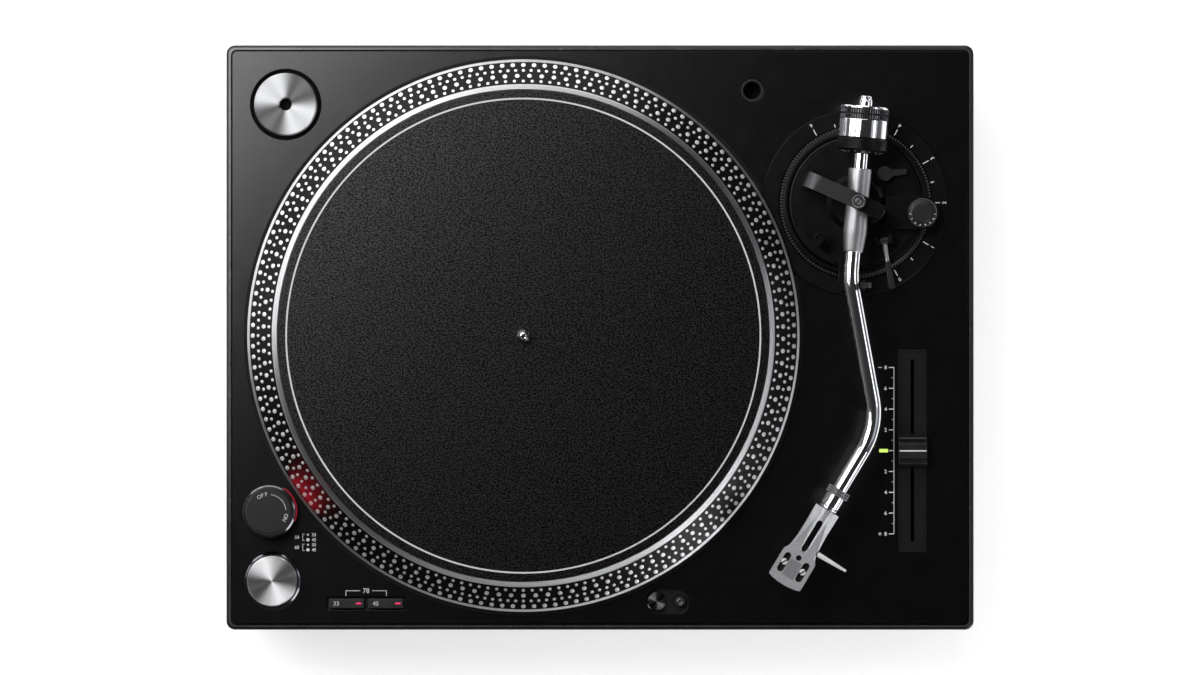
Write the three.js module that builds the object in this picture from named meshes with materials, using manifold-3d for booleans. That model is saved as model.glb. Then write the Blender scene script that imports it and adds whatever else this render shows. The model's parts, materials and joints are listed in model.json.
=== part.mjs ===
// A direct-drive turntable with an S-shaped tonearm, at rest with its arm parked.
// Millimetres, +Z up. The origin is the centre of the case at the level of the table that it stands on.
// The front of the deck, with the start button and the speed buttons, faces -Y.
import * as THREE from "three";
import { mergeVertices } from "three/addons/utils/BufferGeometryUtils.js";
import Module from "manifold-3d";

const wasm = await Module();
wasm.setup();

// Case, which is as large as the platter and the room that it leaves round it
const platterSideMargin = 13;
const platterFrontMargin = 11.1;
const platterRearMargin = 8.9;
const armSideWidth = 105;
const footHeight = 22;
const lowerHeight = 24;
const upperHeight = 42;
const deckPlateThickness = 2;
const castingThickness = 4;
const castingWall = 5;
const cornerRadius = 5.3;
const rimWidth = 4;
const rimRise = 1.6;
const rimBevel = 1.5;
const grooveWidth = 1;
const lowerInset = 1;
const lowerWall = 10;
const ledgeWidth = 4;
const coverThickness = 2;
const footRadius = 32;
const footTaper = 4;
const footInset = 46;
const fixedGap = 0.3;
const runningGap = 0.4;
const overrun = 1;

// Platter and motor
const platterRadius = 166;
const platterClearance = 3;
const platterLipHeight = 4;
const platterLipWidth = 1.4;
const platterBevelWidth = 15.4;
const platterBevelHeight = 8;
const platterRingWidth = 2.9;
const platterRingRise = 0.7;
const platterWallThickness = 8;
const platterWebThickness = 5;
const matRecess = 2.4;
const matThickness = 3;
const matGap = 0.3;
const spindleRadius = 3.6;
const spindleStandout = 12;
const spindleConeHeight = 3;
const spindleTipRadius = 1.6;
const spindleFlangeRadius = 12;
const spindleFlangeThickness = 2.5;
const spindleDrop = 40;
const motorWellMargin = 6;
const bearingRadius = 9;
const bearingFloor = 2;
const motorFlangeWidth = 8;
const motorFlangeThickness = 4;
const statorInnerRadius = 14.5;
const statorOuterRadius = 56;
const statorThickness = 2;
const coilRadius = 9;
const coilHeight = 4.4;
const coilCircleRadius = 38;
const coilCount = 9;
const magnetInnerRadius = 27;
const magnetOuterRadius = 50;
const magnetThickness = 6.4;

// Parts set into the left of the deck, placed by insets from the edges of the case or gaps to the platter
const adapterSideInset = 35.9;
const adapterRearInset = 35.8;
const adapterRadius = 18.9;
const adapterHeight = 11;
const adapterBevel = 1;
const adapterHoleRadius = 3.7;
const adapterRecessRadius = 21;
const adapterRecessDepth = 7;
const adapterCupWall = 3;
const adapterStepRadius = 8.5;
const adapterStepDepth = 0.8;
const powerPlatterGap = 3.597;
const powerAngle = 214.667;
const dialRadius = 15.7;
const dialHeight = 7.6;
const dialBevel = 2;
const powerCapRadius = 13.4;
const powerCapThickness = 2.6;
const powerNeckRadius = 11.2;
const powerNeckDepth = 2;
const towerRadius = 15.1;
const towerHeight = 11;
const towerBoreRadius = 11.6;
const lensRadius = 16.3;
const lensHeight = 6.4;
const lensLift = 3.4;
const lensStartAngle = -24;
const lensEndAngle = 61;
const lampLength = 7;
const lampWidth = 10;
const lampHeight = 8;
const lampReach = 3.4;
const startSideInset = 27.8;
const startFrontShare = 0.41144;
const startRadius = 15.1;
const startHeight = 5.4;
const startBevel = 0.8;
const startSkirt = 3.4;
const startStemRadius = 3;
const startStemLength = 9;
const surroundRadius = 17.2;
const surroundHeight = 1.5;
const surroundBevel = 0.6;
const speedSideInset = 84.25;
const speedFrontInset = 16;
const speedRecessWidth = 47.9;
const speedRecessDepth = 8.2;
const speedButtonWidth = 21.1;
const speedButtonDepth = 5.8;
const speedButtonPitch = 23.7;
const speedButtonHeight = 2.2;
const speedButtonSkirt = 4.4;
const speedWellMargin = 3;
const speedWellHeight = 8;
const speedStemWidth = 6;
const speedStemDepth = 3;
const speedStemLength = 7;

// Pop-up stylus light at the front
const targetFromPlatter = 80.1;
const targetFrontInset = 17.2;
const targetRadius = 5.4;
const targetStandout = 1.3;
const targetBodyLength = 24;
const targetSleeveWall = 2.4;
const targetBevel = 0.5;
const releaseFromTarget = 13.9;
const releaseRadius = 3.4;
const releaseStandout = 0.5;
const releaseLength = 9;
const recessFromTarget = 6.7;
const targetRecessLength = 26.3;
const targetRecessWidth = 15.2;

// Tempo fader at the right
const faderSideInset = 37;
const faderFrontInset = 107.9;
const faderPanelWidth = 17;
const faderPanelLength = 122;
const faderPanelRise = 0.4;
const faderSlotWidth = 2;
const faderSlotLength = 109.6;
const faderKnobLength = 20.7;
const faderKnobHeight = 8;
const faderKnobTop = 12.6;
const faderKnobLift = 0.8;
const faderStemWidth = 1.2;
const faderStemLength = 6;
const faderStemDepth = 10;
const faderBodyWidth = 14;
const faderBodyLength = 118;
const faderBodyHeight = 14;
const faderChannelWidth = 4;
const faderChannelDepth = 9;

// Spare headshell socket at the rear
const socketSideInset = 133.4;
const socketRearInset = 27.4;
const socketRadius = 6.85;
const socketBoreRadius = 5.25;
const socketDepth = 26;
const socketFloor = 2;

// Sockets at the back
const baySideInset = 95;
const bayWidth = 62;
const bayHeight = 24;
const bayDepth = 18;
const bayWall = 1.6;
const bayLift = 8;
const jackRadius = 4.2;
const jackLength = 9;
const jackPitch = 18;
const jackOffset = -10;
const groundRadius = 4;
const groundLength = 8;
const groundOffset = 22;
const inletSideInset = 75;
const inletWidth = 26;
const inletHeight = 18;
const inletDepth = 20;
const inletWall = 2;
const inletPinRadius = 1.3;
const inletPinLength = 9;
const inletPinPitch = 9;
const backRecess = 1;

// Boards inside the case
const controlSideInset = 135;
const controlRearInset = 116;
const controlWidth = 150;
const controlDepth = 80;
const boardThickness = 1.6;
const standoffRadius = 3;
const standoffHeight = 10;
const standoffInset = 6;
const chipWidth = 30;
const chipHeight = 5;
const supplySideInset = 127;
const supplyRearInset = 81;
const supplyWidth = 90;
const supplyDepth = 70;
const transformerWidth = 46;
const transformerHeight = 24;

// Tonearm base
const ringPlatterGap = 3.528;
const armRearInset = 94.9;
const armHeight = 36;
const scaleRadius = 56.2;
const scaleThickness = 1.4;
const scaleBevel = 0.6;
const ringRadius = 45.6;
const ringHeight = 4.8;
const ringBevel = 1.4;
const baseRadius = 40;
const baseLift = 2;
const baseThickness = 5;
const baseBevel = 0.7;
const baseShaftRadius = 33.7;
const baseShaftWall = 4;
const baseShaftDrop = 20;
const sleeveWall = 4;
const sleeveFlangeWidth = 8;
const sleeveFlangeThickness = 4;
const pillarRadius = 17.3;
const pillarHeight = 6;
const pillarStep = 2.4;
const pillarBoreRadius = 2.4;
const yokeDiscRadius = 15;
const yokeDiscThickness = 3;
const yokePinRadius = 2;
const yokePinLength = 4.6;
const yokeHalfLength = 16.6;
const yokeInner = 9.8;
const yokeWidth = 9.3;
const yokeTopRise = 8.4;
const yokeTopThickness = 2.7;
const yokeAngle = -25.9;
const topPinRadius = 1.5;
const topPinDepth = 2.2;
const topSocketRadius = 1.9;
const bridgeAngle = 156;
const bridgeThickness = 3.4;
const bridgeReach = 30.6;
const bridgeSlope = 3.2;
const bridgePostThickness = 4.6;
const bridgeGap = 0.5;
const screwRadius = 3.1;
const screwHeight = 1;
const pitchAxleRadius = 1.6;
const pitchAxleReach = 12.6;
const pitchSocketRadius = 1.95;
const pitchSocketReach = 13.2;

// Fittings on the tonearm base, placed from the arm's pivot
const blockStart = 17.7;
const blockEnd = 39.6;
const blockCentreY = -6.3;
const blockWidth = 19.6;
const blockHeight = 9.6;
const antiskateX = 39.6;
const antiskateRadius = 8.7;
const antiskateHeight = 4.6;
const antiskateBevel = 1.6;
const antiskateAxleRadius = 2;
const antiskateAxleDepth = 5;
const lockX = 17.3;
const lockY = 17.2;
const lockRadius = 4.4;
const lockHeight = 6.4;
const lockLength = 13;
const lockRootWidth = 5;
const lockTipWidth = 3.6;
const lockHandleThickness = 2.6;
const lockAngle = 6;
const restForward = 50;
const restCentreX = -4.4;
const restHalfSpan = 7.9;
const restProngWidth = 2.6;
const restDepth = 5.6;
const restBarThickness = 3.4;
const restColumnWidth = 7;
const restFootWidth = 12;
const restFootInner = 34;
const restFootThickness = 3;
const restProngRise = 1.6;
const clipInnerRadius = 5.6;
const clipThickness = 1.2;
const clipDepth = 3.2;
const clipHingeRise = 2.2;
const clipKnuckleRadius = 1.3;
const clipOpenAngle = 90;
const clipTubeX = -2.9;
const cylinderRadius = 4.4;
const cylinderCircleRadius = 31;
const cylinderHeight = 15;
const cylinderBoreRadius = 2.3;
const liftRodRadius = 1.9;
const liftAngle = 226;
const liftSpan = 46;
const liftInnerRadius = 36;
const liftOuterRadius = 39.4;
const liftThickness = 2.6;
const liftDrop = 1.1;
const liftRodDepth = 10;
const liftWebWidth = 3.6;
const cueX = 16.7;
const cueY = -22.9;
const cueHubRadius = 2.6;
const cueHubLength = 5;
const cueEarThickness = 2.4;
const cueEarWidth = 5.6;
const cueAxleRadius = 1.2;
const cueRise = 8;
const cueRodRadius = 1.5;
const cueRodLength = 12.4;
const cuePaddleLength = 17;
const cuePaddleWidth = 4.6;
const cuePaddleTipWidth = 6.2;
const cuePaddleThickness = 2;
const cueAngle = 9.2;

// Tonearm, placed along its axis from the pivot
const armAngle = -4.83;
const middleAngle = 10.3;
const headAngle = -31;
const housingRear = 19.8;
const housingRearRadius = 6.85;
const housingMiddle = 17;
const housingMiddleRadius = 7;
const housingFront = 30.2;
const housingFrontRadius = 5.8;
const tubeRadius = 4.7;
const tubeStart = 18;
const firstCorner = 46.6;
const firstBendRadius = 55;
const cornerSpacing = 89.3;
const secondBendRadius = 45;
const stylusReach = 106.8;
const stubRadius = 4.2;
const stubEnd = 63.2;
const stubStart = 12.3;
const coreRadius = 7;
const coreStart = 29.6;
const coreEnd = 50;
const weightRadius = 14.7;
const weightGripRadius = 14.3;
const weightStart = 38;
const weightGripStart = 49;
const weightGripEnd = 55.4;
const weightEnd = 57.2;
const weightDialRadius = 14.9;
const weightDialStart = 28.8;
const weightDialCone = 2;
const weightDialMouth = 9;
const neckReach = 48.7;
const collarGap = 0.8;
const collarGripRadius = 7;
const collarGripLength = 4.5;
const collarRadius = 5.9;
const collarLength = 13.6;
const collarBoreRadius = 5.1;
const tubeEndReach = 57.5;
const plugRadius = 4.2;
const plugLength = 7.4;

// Headshell, cartridge and finger lift, placed along the headshell from its neck
const shellThickness = 4;
const shellLift = 2.6;
const shellNeckHalfWidth = 7.8;
const shellWaistHalfWidth = 7.65;
const shellShoulderHalfWidth = 8.5;
const shellFrontHalfWidth = 10.8;
const shellWaistStart = 9;
const shellWaistEnd = 17;
const shellShoulderStart = 28.5;
const shellShoulderEnd = 33;
const shellSide = 49.6;
const shellLength = 51.8;
const shellSlotStart = 7.6;
const shellSlotEnd = 28.5;
const shellSlotWidth = 3;
const shellHoleAt = 33.4;
const shellHoleRadius = 1.7;
const mountSlotAt = 39.7;
const mountSlotOffset = 6.35;
const mountSlotWidth = 4.1;
const mountSlotLength = 12.7;
const cartridgeStart = 24;
const cartridgeEnd = 51;
const cartridgeWidth = 16.8;
const cartridgeHeight = 11;
const cartridgeNose = 5;
const cartridgeSlope = 6;
const stylusBlockWidth = 6;
const stylusBlockLength = 16;
const stylusBlockDepth = 3.4;
const stylusTipRadius = 0.5;
const recordThickness = 1.9;
const fingerAt = 25.6;
const fingerRadius = 1.3;
const fingerTipRadius = 0.8;
const fingerReach = 28.4;
const fingerRise = 2;

// Facets on round parts
const largeSegments = 60;
const mediumSegments = 30;
const hiddenSegments = 20;
const smallSegments = 16;
const tinySegments = 8;
const cornerSteps = 3;
const bendSteps = 8;
const tubeSteps = 36;
const tubeSides = 12;
const windowSteps = 10;

// Places that follow from the sizes above
const caseWidth = platterSideMargin + 2 * platterRadius + armSideWidth;
const caseDepth = platterFrontMargin + 2 * platterRadius + platterRearMargin;
const left = -caseWidth / 2;
const right = caseWidth / 2;
const front = -caseDepth / 2;
const rear = caseDepth / 2;
const platterX = left + platterSideMargin + platterRadius;
const platterY = front + platterFrontMargin + platterRadius;
const adapterX = left + adapterSideInset;
const adapterY = rear - adapterRearInset;
const powerDistance = platterRadius + powerPlatterGap + dialRadius;
const powerX = platterX + powerDistance * Math.cos(THREE.MathUtils.degToRad(powerAngle));
const powerY = platterY + powerDistance * Math.sin(THREE.MathUtils.degToRad(powerAngle));
const startX = left + startSideInset;
const startY = front + startFrontShare * (powerY - front);
const speedX = left + speedSideInset;
const speedY = front + speedFrontInset;
const targetX = platterX + targetFromPlatter;
const targetY = front + targetFrontInset;
const releaseX = targetX + releaseFromTarget;
const targetRecessX = targetX + recessFromTarget;
const faderX = right - faderSideInset;
const faderY = front + faderFrontInset;
const socketX = right - socketSideInset;
const socketY = rear - socketRearInset;
const bayX = right - baySideInset;
const inletX = left + inletSideInset;
const controlX = right - controlSideInset;
const controlY = rear - controlRearInset;
const supplyX = left + supplySideInset;
const supplyY = rear - supplyRearInset;
const armY = rear - armRearInset;
const pivotDistance = platterRadius + ringPlatterGap + ringRadius;
const armX = platterX + Math.sqrt(pivotDistance ** 2 - (armY - platterY) ** 2);

const platterBevelInnerRadius = platterRadius - platterBevelWidth;
const motorWellRadius = statorOuterRadius + motorWellMargin;
const motorFlangeRadius = motorWellRadius + motorFlangeWidth;

// Heights that follow from the sizes above
const lowerTop = footHeight + lowerHeight;
const castingTop = lowerTop + upperHeight;
const castingUnderside = castingTop - castingThickness;
const deckTop = castingTop + deckPlateThickness;
const platterBottom = deckTop + platterClearance;
const platterLipTop = platterBottom + platterLipHeight;
const platterBevelTop = platterLipTop + platterBevelHeight;
const platterTop = platterBevelTop + platterRingRise;
const platterFloor = platterTop - matRecess;
const webBottom = platterFloor - platterWebThickness;
const matRadius = platterBevelInnerRadius - platterRingWidth;
const matTop = platterFloor + matThickness;
const spindleTop = matTop + spindleStandout;
const spindleBottom = webBottom - spindleDrop;
const baseBottom = deckTop + baseLift;
const baseTop = baseBottom + baseThickness;
const pillarTop = baseTop + pillarHeight;
const armAxis = deckTop + armHeight;
const yokeTopBottom = armAxis + yokeTopRise;
const yokeTopTop = yokeTopBottom + yokeTopThickness;
const bridgeBottom = yokeTopTop + bridgeGap;
const bridgeTop = bridgeBottom + bridgeThickness;
const stylusTip = matTop + recordThickness;

const materials = {
  deck: new THREE.MeshStandardMaterial({ color: "#131313", roughness: 0.42, metalness: 0.1 }),
  rim: new THREE.MeshStandardMaterial({ color: "#1c1c1c", roughness: 0.38, metalness: 0.2 }),
  blackPlastic: new THREE.MeshStandardMaterial({ color: "#161616", roughness: 0.55, metalness: 0 }),
  rubber: new THREE.MeshStandardMaterial({ color: "#101010", roughness: 0.85, metalness: 0 }),
  aluminium: new THREE.MeshStandardMaterial({ color: "#c9cbcc", roughness: 0.3, metalness: 0.9 }),
  chrome: new THREE.MeshStandardMaterial({ color: "#dcdddf", roughness: 0.08, metalness: 1 }),
  satin: new THREE.MeshStandardMaterial({ color: "#8f9091", roughness: 0.4, metalness: 0.7 }),
  darkMetal: new THREE.MeshStandardMaterial({ color: "#2b2b2c", roughness: 0.4, metalness: 0.6 }),
  mat: new THREE.MeshStandardMaterial({ color: "#232323", roughness: 0.95, metalness: 0 }),
  red: new THREE.MeshStandardMaterial({ color: "#d9252f", roughness: 0.3, metalness: 0 }),
  steel: new THREE.MeshStandardMaterial({ color: "#9a9c9e", roughness: 0.35, metalness: 0.9 }),
  magnet: new THREE.MeshStandardMaterial({ color: "#3a3a3c", roughness: 0.6, metalness: 0.2 }),
  copper: new THREE.MeshStandardMaterial({ color: "#b0703c", roughness: 0.4, metalness: 0.8 }),
  board: new THREE.MeshStandardMaterial({ color: "#1f5a34", roughness: 0.6, metalness: 0 }),
};

const turntable = new THREE.Group();

// Gives a closed geometry plain merged corners, without collapsed triangles, and with its faces pointing out.
function closed(geometry) {
  const bare = geometry.clone();
  bare.deleteAttribute("normal");
  bare.deleteAttribute("uv");
  const merged = mergeVertices(bare);
  const places = merged.attributes.position.array;
  const kept = [];
  let volume = 0;
  const a = new THREE.Vector3();
  const b = new THREE.Vector3();
  const c = new THREE.Vector3();
  for (let i = 0; i < merged.index.count; i += 3) {
    const [p, q, r] = [0, 1, 2].map((k) => merged.index.getX(i + k));
    if (p === q || q === r || r === p) continue;
    kept.push([p, q, r]);
    a.fromArray(places, 3 * p);
    b.fromArray(places, 3 * q);
    c.fromArray(places, 3 * r);
    volume += a.dot(b.cross(c));
  }
  const outward = volume < 0 ? kept.map(([p, q, r]) => [p, r, q]) : kept;
  const result = new THREE.BufferGeometry();
  result.setAttribute("position", new THREE.BufferAttribute(new Float32Array(places), 3));
  result.setIndex(outward.flat());
  return result;
}

function toSolid(geometry) {
  const clean = closed(geometry);
  const vertProperties = clean.attributes.position.array;
  const triVerts = new Uint32Array(clean.index.array);
  return new wasm.Manifold(new wasm.Mesh({ numProp: 3, vertProperties, triVerts }));
}

function fromSolid(solid) {
  const mesh = solid.getMesh();
  const result = new THREE.BufferGeometry();
  result.setAttribute("position", new THREE.BufferAttribute(new Float32Array(mesh.vertProperties), 3));
  result.setIndex(Array.from(mesh.triVerts));
  return result;
}

function join(first, ...others) {
  return fromSolid(others.reduce((whole, piece) => whole.add(toSolid(piece)), toSolid(first)));
}

function cut(first, ...tools) {
  return fromSolid(tools.reduce((rest, tool) => rest.subtract(toSolid(tool)), toSolid(first)));
}

function moved(geometry, x, y, z) {
  return geometry.clone().translate(x, y, z);
}

function turned(geometry, angle) {
  return geometry.clone().rotateZ(THREE.MathUtils.degToRad(angle));
}

function box(width, depth, bottom, top) {
  return new THREE.BoxGeometry(width, depth, top - bottom).translate(0, 0, (bottom + top) / 2);
}

function rod(radius, bottom, top, segments = smallSegments) {
  const middle = (bottom + top) / 2;
  return new THREE.CylinderGeometry(radius, radius, top - bottom, segments).rotateX(Math.PI / 2)
    .translate(0, 0, middle);
}

// Turns a profile of [radius, height] points about the vertical axis.
function lathe(points, segments) {
  const profile = points.map(([radius, height]) => new THREE.Vector2(radius, height));
  return new THREE.LatheGeometry(profile, segments).rotateX(Math.PI / 2);
}

// A lathe profile that stays off the axis closes on its own first point.
function ringLathe(points, segments) {
  return lathe([...points, points[0]], segments);
}

function slab(shape, bottom, top, steps = cornerSteps) {
  return new THREE.ExtrudeGeometry(shape, { depth: top - bottom, bevelEnabled: false, curveSegments: steps })
    .translate(0, 0, bottom);
}

function roundedRectangle(width, depth, radius) {
  const x = width / 2;
  const y = depth / 2;
  const shape = new THREE.Shape();
  shape.moveTo(-x + radius, -y);
  shape.lineTo(x - radius, -y);
  shape.absarc(x - radius, -y + radius, radius, -Math.PI / 2, 0);
  shape.lineTo(x, y - radius);
  shape.absarc(x - radius, y - radius, radius, 0, Math.PI / 2);
  shape.lineTo(-x + radius, y);
  shape.absarc(-x + radius, y - radius, radius, Math.PI / 2, Math.PI);
  shape.lineTo(-x, -y + radius);
  shape.absarc(-x + radius, -y + radius, radius, Math.PI, 3 * Math.PI / 2);
  return shape;
}

function polygon(points) {
  return new THREE.Shape(points.map(([x, y]) => new THREE.Vector2(x, y)));
}

// A flat band between two radii and two angles in degrees.
function arcBand(innerRadius, outerRadius, startAngle, endAngle, steps) {
  const start = THREE.MathUtils.degToRad(startAngle);
  const end = THREE.MathUtils.degToRad(endAngle);
  const points = [];
  for (let i = 0; i <= steps; i++) {
    const angle = start + (end - start) * i / steps;
    points.push([outerRadius * Math.cos(angle), outerRadius * Math.sin(angle)]);
  }
  for (let i = steps; i >= 0; i--) {
    const angle = start + (end - start) * i / steps;
    points.push([innerRadius * Math.cos(angle), innerRadius * Math.sin(angle)]);
  }
  return polygon(points);
}

function add(name, geometry, material, group = turntable) {
  const mesh = new THREE.Mesh(closed(geometry), material);
  mesh.name = name;
  group.add(mesh);
  return mesh;
}

function groupAt(x, y, z, parent = turntable) {
  const group = new THREE.Group();
  group.position.set(x, y, z);
  parent.add(group);
  return group;
}

// A group whose +Z runs forward along a heading, counted in degrees from straight forward to the right,
// with +Y up and +X to the right.
function alongHeading(heading, parent) {
  const angle = THREE.MathUtils.degToRad(heading);
  const forward = new THREE.Vector3(Math.sin(angle), -Math.cos(angle), 0);
  const right = new THREE.Vector3(Math.cos(angle), Math.sin(angle), 0);
  const group = new THREE.Group();
  group.setRotationFromMatrix(new THREE.Matrix4().makeBasis(right, new THREE.Vector3(0, 0, 1), forward));
  parent.add(group);
  return group;
}

// A point at a distance along a heading, seen from above.
function ahead(heading, distance) {
  const angle = THREE.MathUtils.degToRad(heading);
  return new THREE.Vector2(distance * Math.sin(angle), -distance * Math.cos(angle));
}

const plateWidth = caseWidth - 2 * (rimWidth + grooveWidth);
const plateDepth = caseDepth - 2 * (rimWidth + grooveWidth);
const plateCorner = cornerRadius - grooveWidth;
const backFace = caseDepth / 2 - backRecess;
const bayBottom = lowerTop + bayLift;
const cupFloor = deckTop - adapterRecessDepth;
const sleeveRadius = baseShaftRadius + runningGap + sleeveWall;
const speedWellWidth = speedRecessWidth + 2 * speedWellMargin;
const speedWellDepth = speedRecessDepth + 2 * speedWellMargin;

function targetRecess(clearance) {
  const width = targetRecessLength - 2 * clearance;
  const depth = targetRecessWidth - 2 * clearance;
  return roundedRectangle(width, depth, depth / 2 - fixedGap);
}

function addCasting() {
  const skirtTop = castingTop - castingThickness;
  const bevelStart = castingTop + rimRise - rimBevel;
  const outer = roundedRectangle(caseWidth, caseDepth, cornerRadius);
  const bevelled = new THREE.ExtrudeGeometry(outer, {
    depth: bevelStart - skirtTop,
    bevelEnabled: true,
    bevelSegments: 1,
    bevelThickness: rimBevel,
    bevelSize: rimBevel,
    bevelOffset: -rimBevel,
    curveSegments: cornerSteps,
  }).translate(0, 0, skirtTop);
  const skirt = slab(outer, lowerTop, bevelStart);
  const well = caseWidth - 2 * castingWall;
  const inside = slab(roundedRectangle(well, caseDepth - 2 * castingWall, cornerRadius), lowerTop - overrun,
    castingUnderside);
  const recess = slab(roundedRectangle(caseWidth - 2 * rimWidth, caseDepth - 2 * rimWidth, cornerRadius),
    castingTop, castingTop + rimRise + overrun);
  const shell = cut(join(skirt, bevelled), inside, recess);
  const cup = rod(adapterRecessRadius + adapterCupWall, cupFloor - adapterCupWall, castingTop, smallSegments);
  const sleeveBottom = deckTop + targetStandout - targetBodyLength;
  const sleeve = rod(targetRadius + runningGap + targetSleeveWall, sleeveBottom, castingTop);
  const bossed = join(shell, moved(cup, adapterX, adapterY, 0), moved(sleeve, targetX, targetY, 0));
  const through = castingTop + overrun;
  const below = castingUnderside - overrun;
  const bay = box(bayWidth + 2 * fixedGap, castingWall + 2 * overrun, bayBottom - fixedGap,
    bayBottom + bayHeight + fixedGap);
  const inlet = box(inletWidth + 2 * fixedGap, castingWall + 2 * overrun, bayBottom - fixedGap,
    bayBottom + inletHeight + fixedGap);
  const wallMiddle = (caseDepth - castingWall) / 2;
  return add("upper_casting", cut(bossed,
    moved(rod(motorWellRadius, below, through, largeSegments), platterX, platterY, 0),
    moved(rod(adapterRecessRadius, cupFloor, through, mediumSegments), adapterX, adapterY, 0),
    moved(rod(startStemRadius + runningGap, below, through), startX, startY, 0),
    moved(box(speedRecessWidth, speedRecessDepth, below, through), speedX, speedY, 0),
    moved(rod(targetRadius + runningGap, sleeveBottom - overrun, through), targetX, targetY, 0),
    moved(rod(releaseRadius + runningGap, below, through), releaseX, targetY, 0),
    moved(box(faderChannelWidth, faderSlotLength, below, through), faderX, faderY, 0),
    moved(rod(socketRadius + fixedGap, below, through), socketX, socketY, 0),
    moved(rod(sleeveRadius + fixedGap, below, through, mediumSegments), armX, armY, 0),
    moved(bay, bayX, wallMiddle, 0),
    moved(inlet, inletX, wallMiddle, 0),
  ), materials.rim);
}

function addDeckPlate() {
  const plate = slab(roundedRectangle(plateWidth, plateDepth, plateCorner), castingTop, deckTop);
  const through = deckTop + overrun;
  const below = castingTop - overrun;
  const fader = box(faderPanelWidth + 2 * fixedGap, faderPanelLength + 2 * fixedGap, below, through);
  add("deck_plate", cut(plate,
    moved(rod(motorWellRadius, below, through, largeSegments), platterX, platterY, 0),
    moved(rod(adapterRecessRadius, below, through, mediumSegments), adapterX, adapterY, 0),
    moved(rod(towerRadius + fixedGap, below, through, mediumSegments), powerX, powerY, 0),
    moved(rod(surroundRadius + fixedGap, below, through, mediumSegments), startX, startY, 0),
    moved(box(speedRecessWidth, speedRecessDepth, below, through), speedX, speedY, 0),
    moved(slab(targetRecess(0), below, through), targetRecessX, targetY, 0),
    moved(fader, faderX, faderY, 0),
    moved(rod(socketRadius + fixedGap, below, through), socketX, socketY, 0),
    moved(rod(sleeveRadius + fixedGap, below, through, mediumSegments), armX, armY, 0),
  ), materials.deck);
}

function addLowerCase() {
  const width = caseWidth - 2 * lowerInset;
  const depth = caseDepth - 2 * lowerInset;
  const ledge = lowerWall + ledgeWidth;
  const outer = slab(roundedRectangle(width, depth, cornerRadius), footHeight, lowerTop);
  const coverSpace = slab(roundedRectangle(width - 2 * lowerWall, depth - 2 * lowerWall, cornerRadius),
    footHeight - overrun, footHeight + coverThickness);
  const cavity = slab(roundedRectangle(width - 2 * ledge, depth - 2 * ledge, cornerRadius),
    footHeight, lowerTop + overrun);
  const footX = caseWidth / 2 - footInset;
  const footY = caseDepth / 2 - footInset;
  const bosses = [];
  const clearances = [];
  for (const side of [-1, 1]) {
    for (const end of [-1, 1]) {
      const boss = rod(footRadius, footHeight, lowerTop, hiddenSegments);
      bosses.push(moved(boss, side * footX, end * footY, 0));
      const clearance = rod(footRadius + fixedGap, footHeight - overrun, lowerTop, hiddenSegments);
      clearances.push(moved(clearance, side * footX, end * footY, 0));
    }
  }
  add("lower_case", join(cut(outer, coverSpace, cavity), ...bosses), materials.rubber);
  const coverWidth = width - 2 * lowerWall - 2 * fixedGap;
  const coverDepth = depth - 2 * lowerWall - 2 * fixedGap;
  const cover = slab(roundedRectangle(coverWidth, coverDepth, cornerRadius), footHeight,
    footHeight + coverThickness);
  add("bottom_cover", cut(cover, ...clearances), materials.darkMetal);
  const foot = lathe([
    [0, 0],
    [footRadius - footTaper, 0],
    [footRadius, footTaper],
    [footRadius, footHeight - footTaper],
    [footRadius - footTaper, footHeight],
    [0, footHeight],
  ], mediumSegments);
  add("foot_front_left", moved(foot, -footX, -footY, 0), materials.rubber);
  add("foot_front_right", moved(foot, footX, -footY, 0), materials.rubber);
  add("foot_rear_left", moved(foot, -footX, footY, 0), materials.rubber);
  add("foot_rear_right", moved(foot, footX, footY, 0), materials.rubber);
}

function addPlatter() {
  const group = groupAt(platterX, platterY, 0);
  const hubBore = spindleRadius + fixedGap;
  add("platter", ringLathe([
    [hubBore, webBottom],
    [platterRadius - platterWallThickness, webBottom],
    [platterRadius - platterWallThickness, platterBottom],
    [platterRadius, platterBottom],
    [platterRadius, platterLipTop],
    [platterRadius - platterLipWidth, platterLipTop],
    [platterBevelInnerRadius, platterBevelTop],
    [matRadius, platterTop],
    [matRadius, platterFloor],
    [hubBore, platterFloor],
  ], largeSegments), materials.aluminium, group);
  add("slipmat", ringLathe([
    [hubBore, platterFloor],
    [matRadius - matGap, platterFloor],
    [matRadius - matGap, matTop],
    [hubBore, matTop],
  ], largeSegments), materials.mat, group);
  add("spindle", lathe([
    [0, spindleBottom],
    [spindleRadius, spindleBottom],
    [spindleRadius, webBottom - spindleFlangeThickness],
    [spindleFlangeRadius, webBottom - spindleFlangeThickness],
    [spindleFlangeRadius, webBottom],
    [spindleRadius, webBottom],
    [spindleRadius, spindleTop - spindleConeHeight],
    [spindleTipRadius, spindleTop],
    [0, spindleTop],
  ], smallSegments), materials.chrome, group);
  add("rotor_magnet", ringLathe([
    [magnetInnerRadius, webBottom - magnetThickness],
    [magnetOuterRadius, webBottom - magnetThickness],
    [magnetOuterRadius, webBottom],
    [magnetInnerRadius, webBottom],
  ], hiddenSegments), materials.magnet, group);
}

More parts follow.
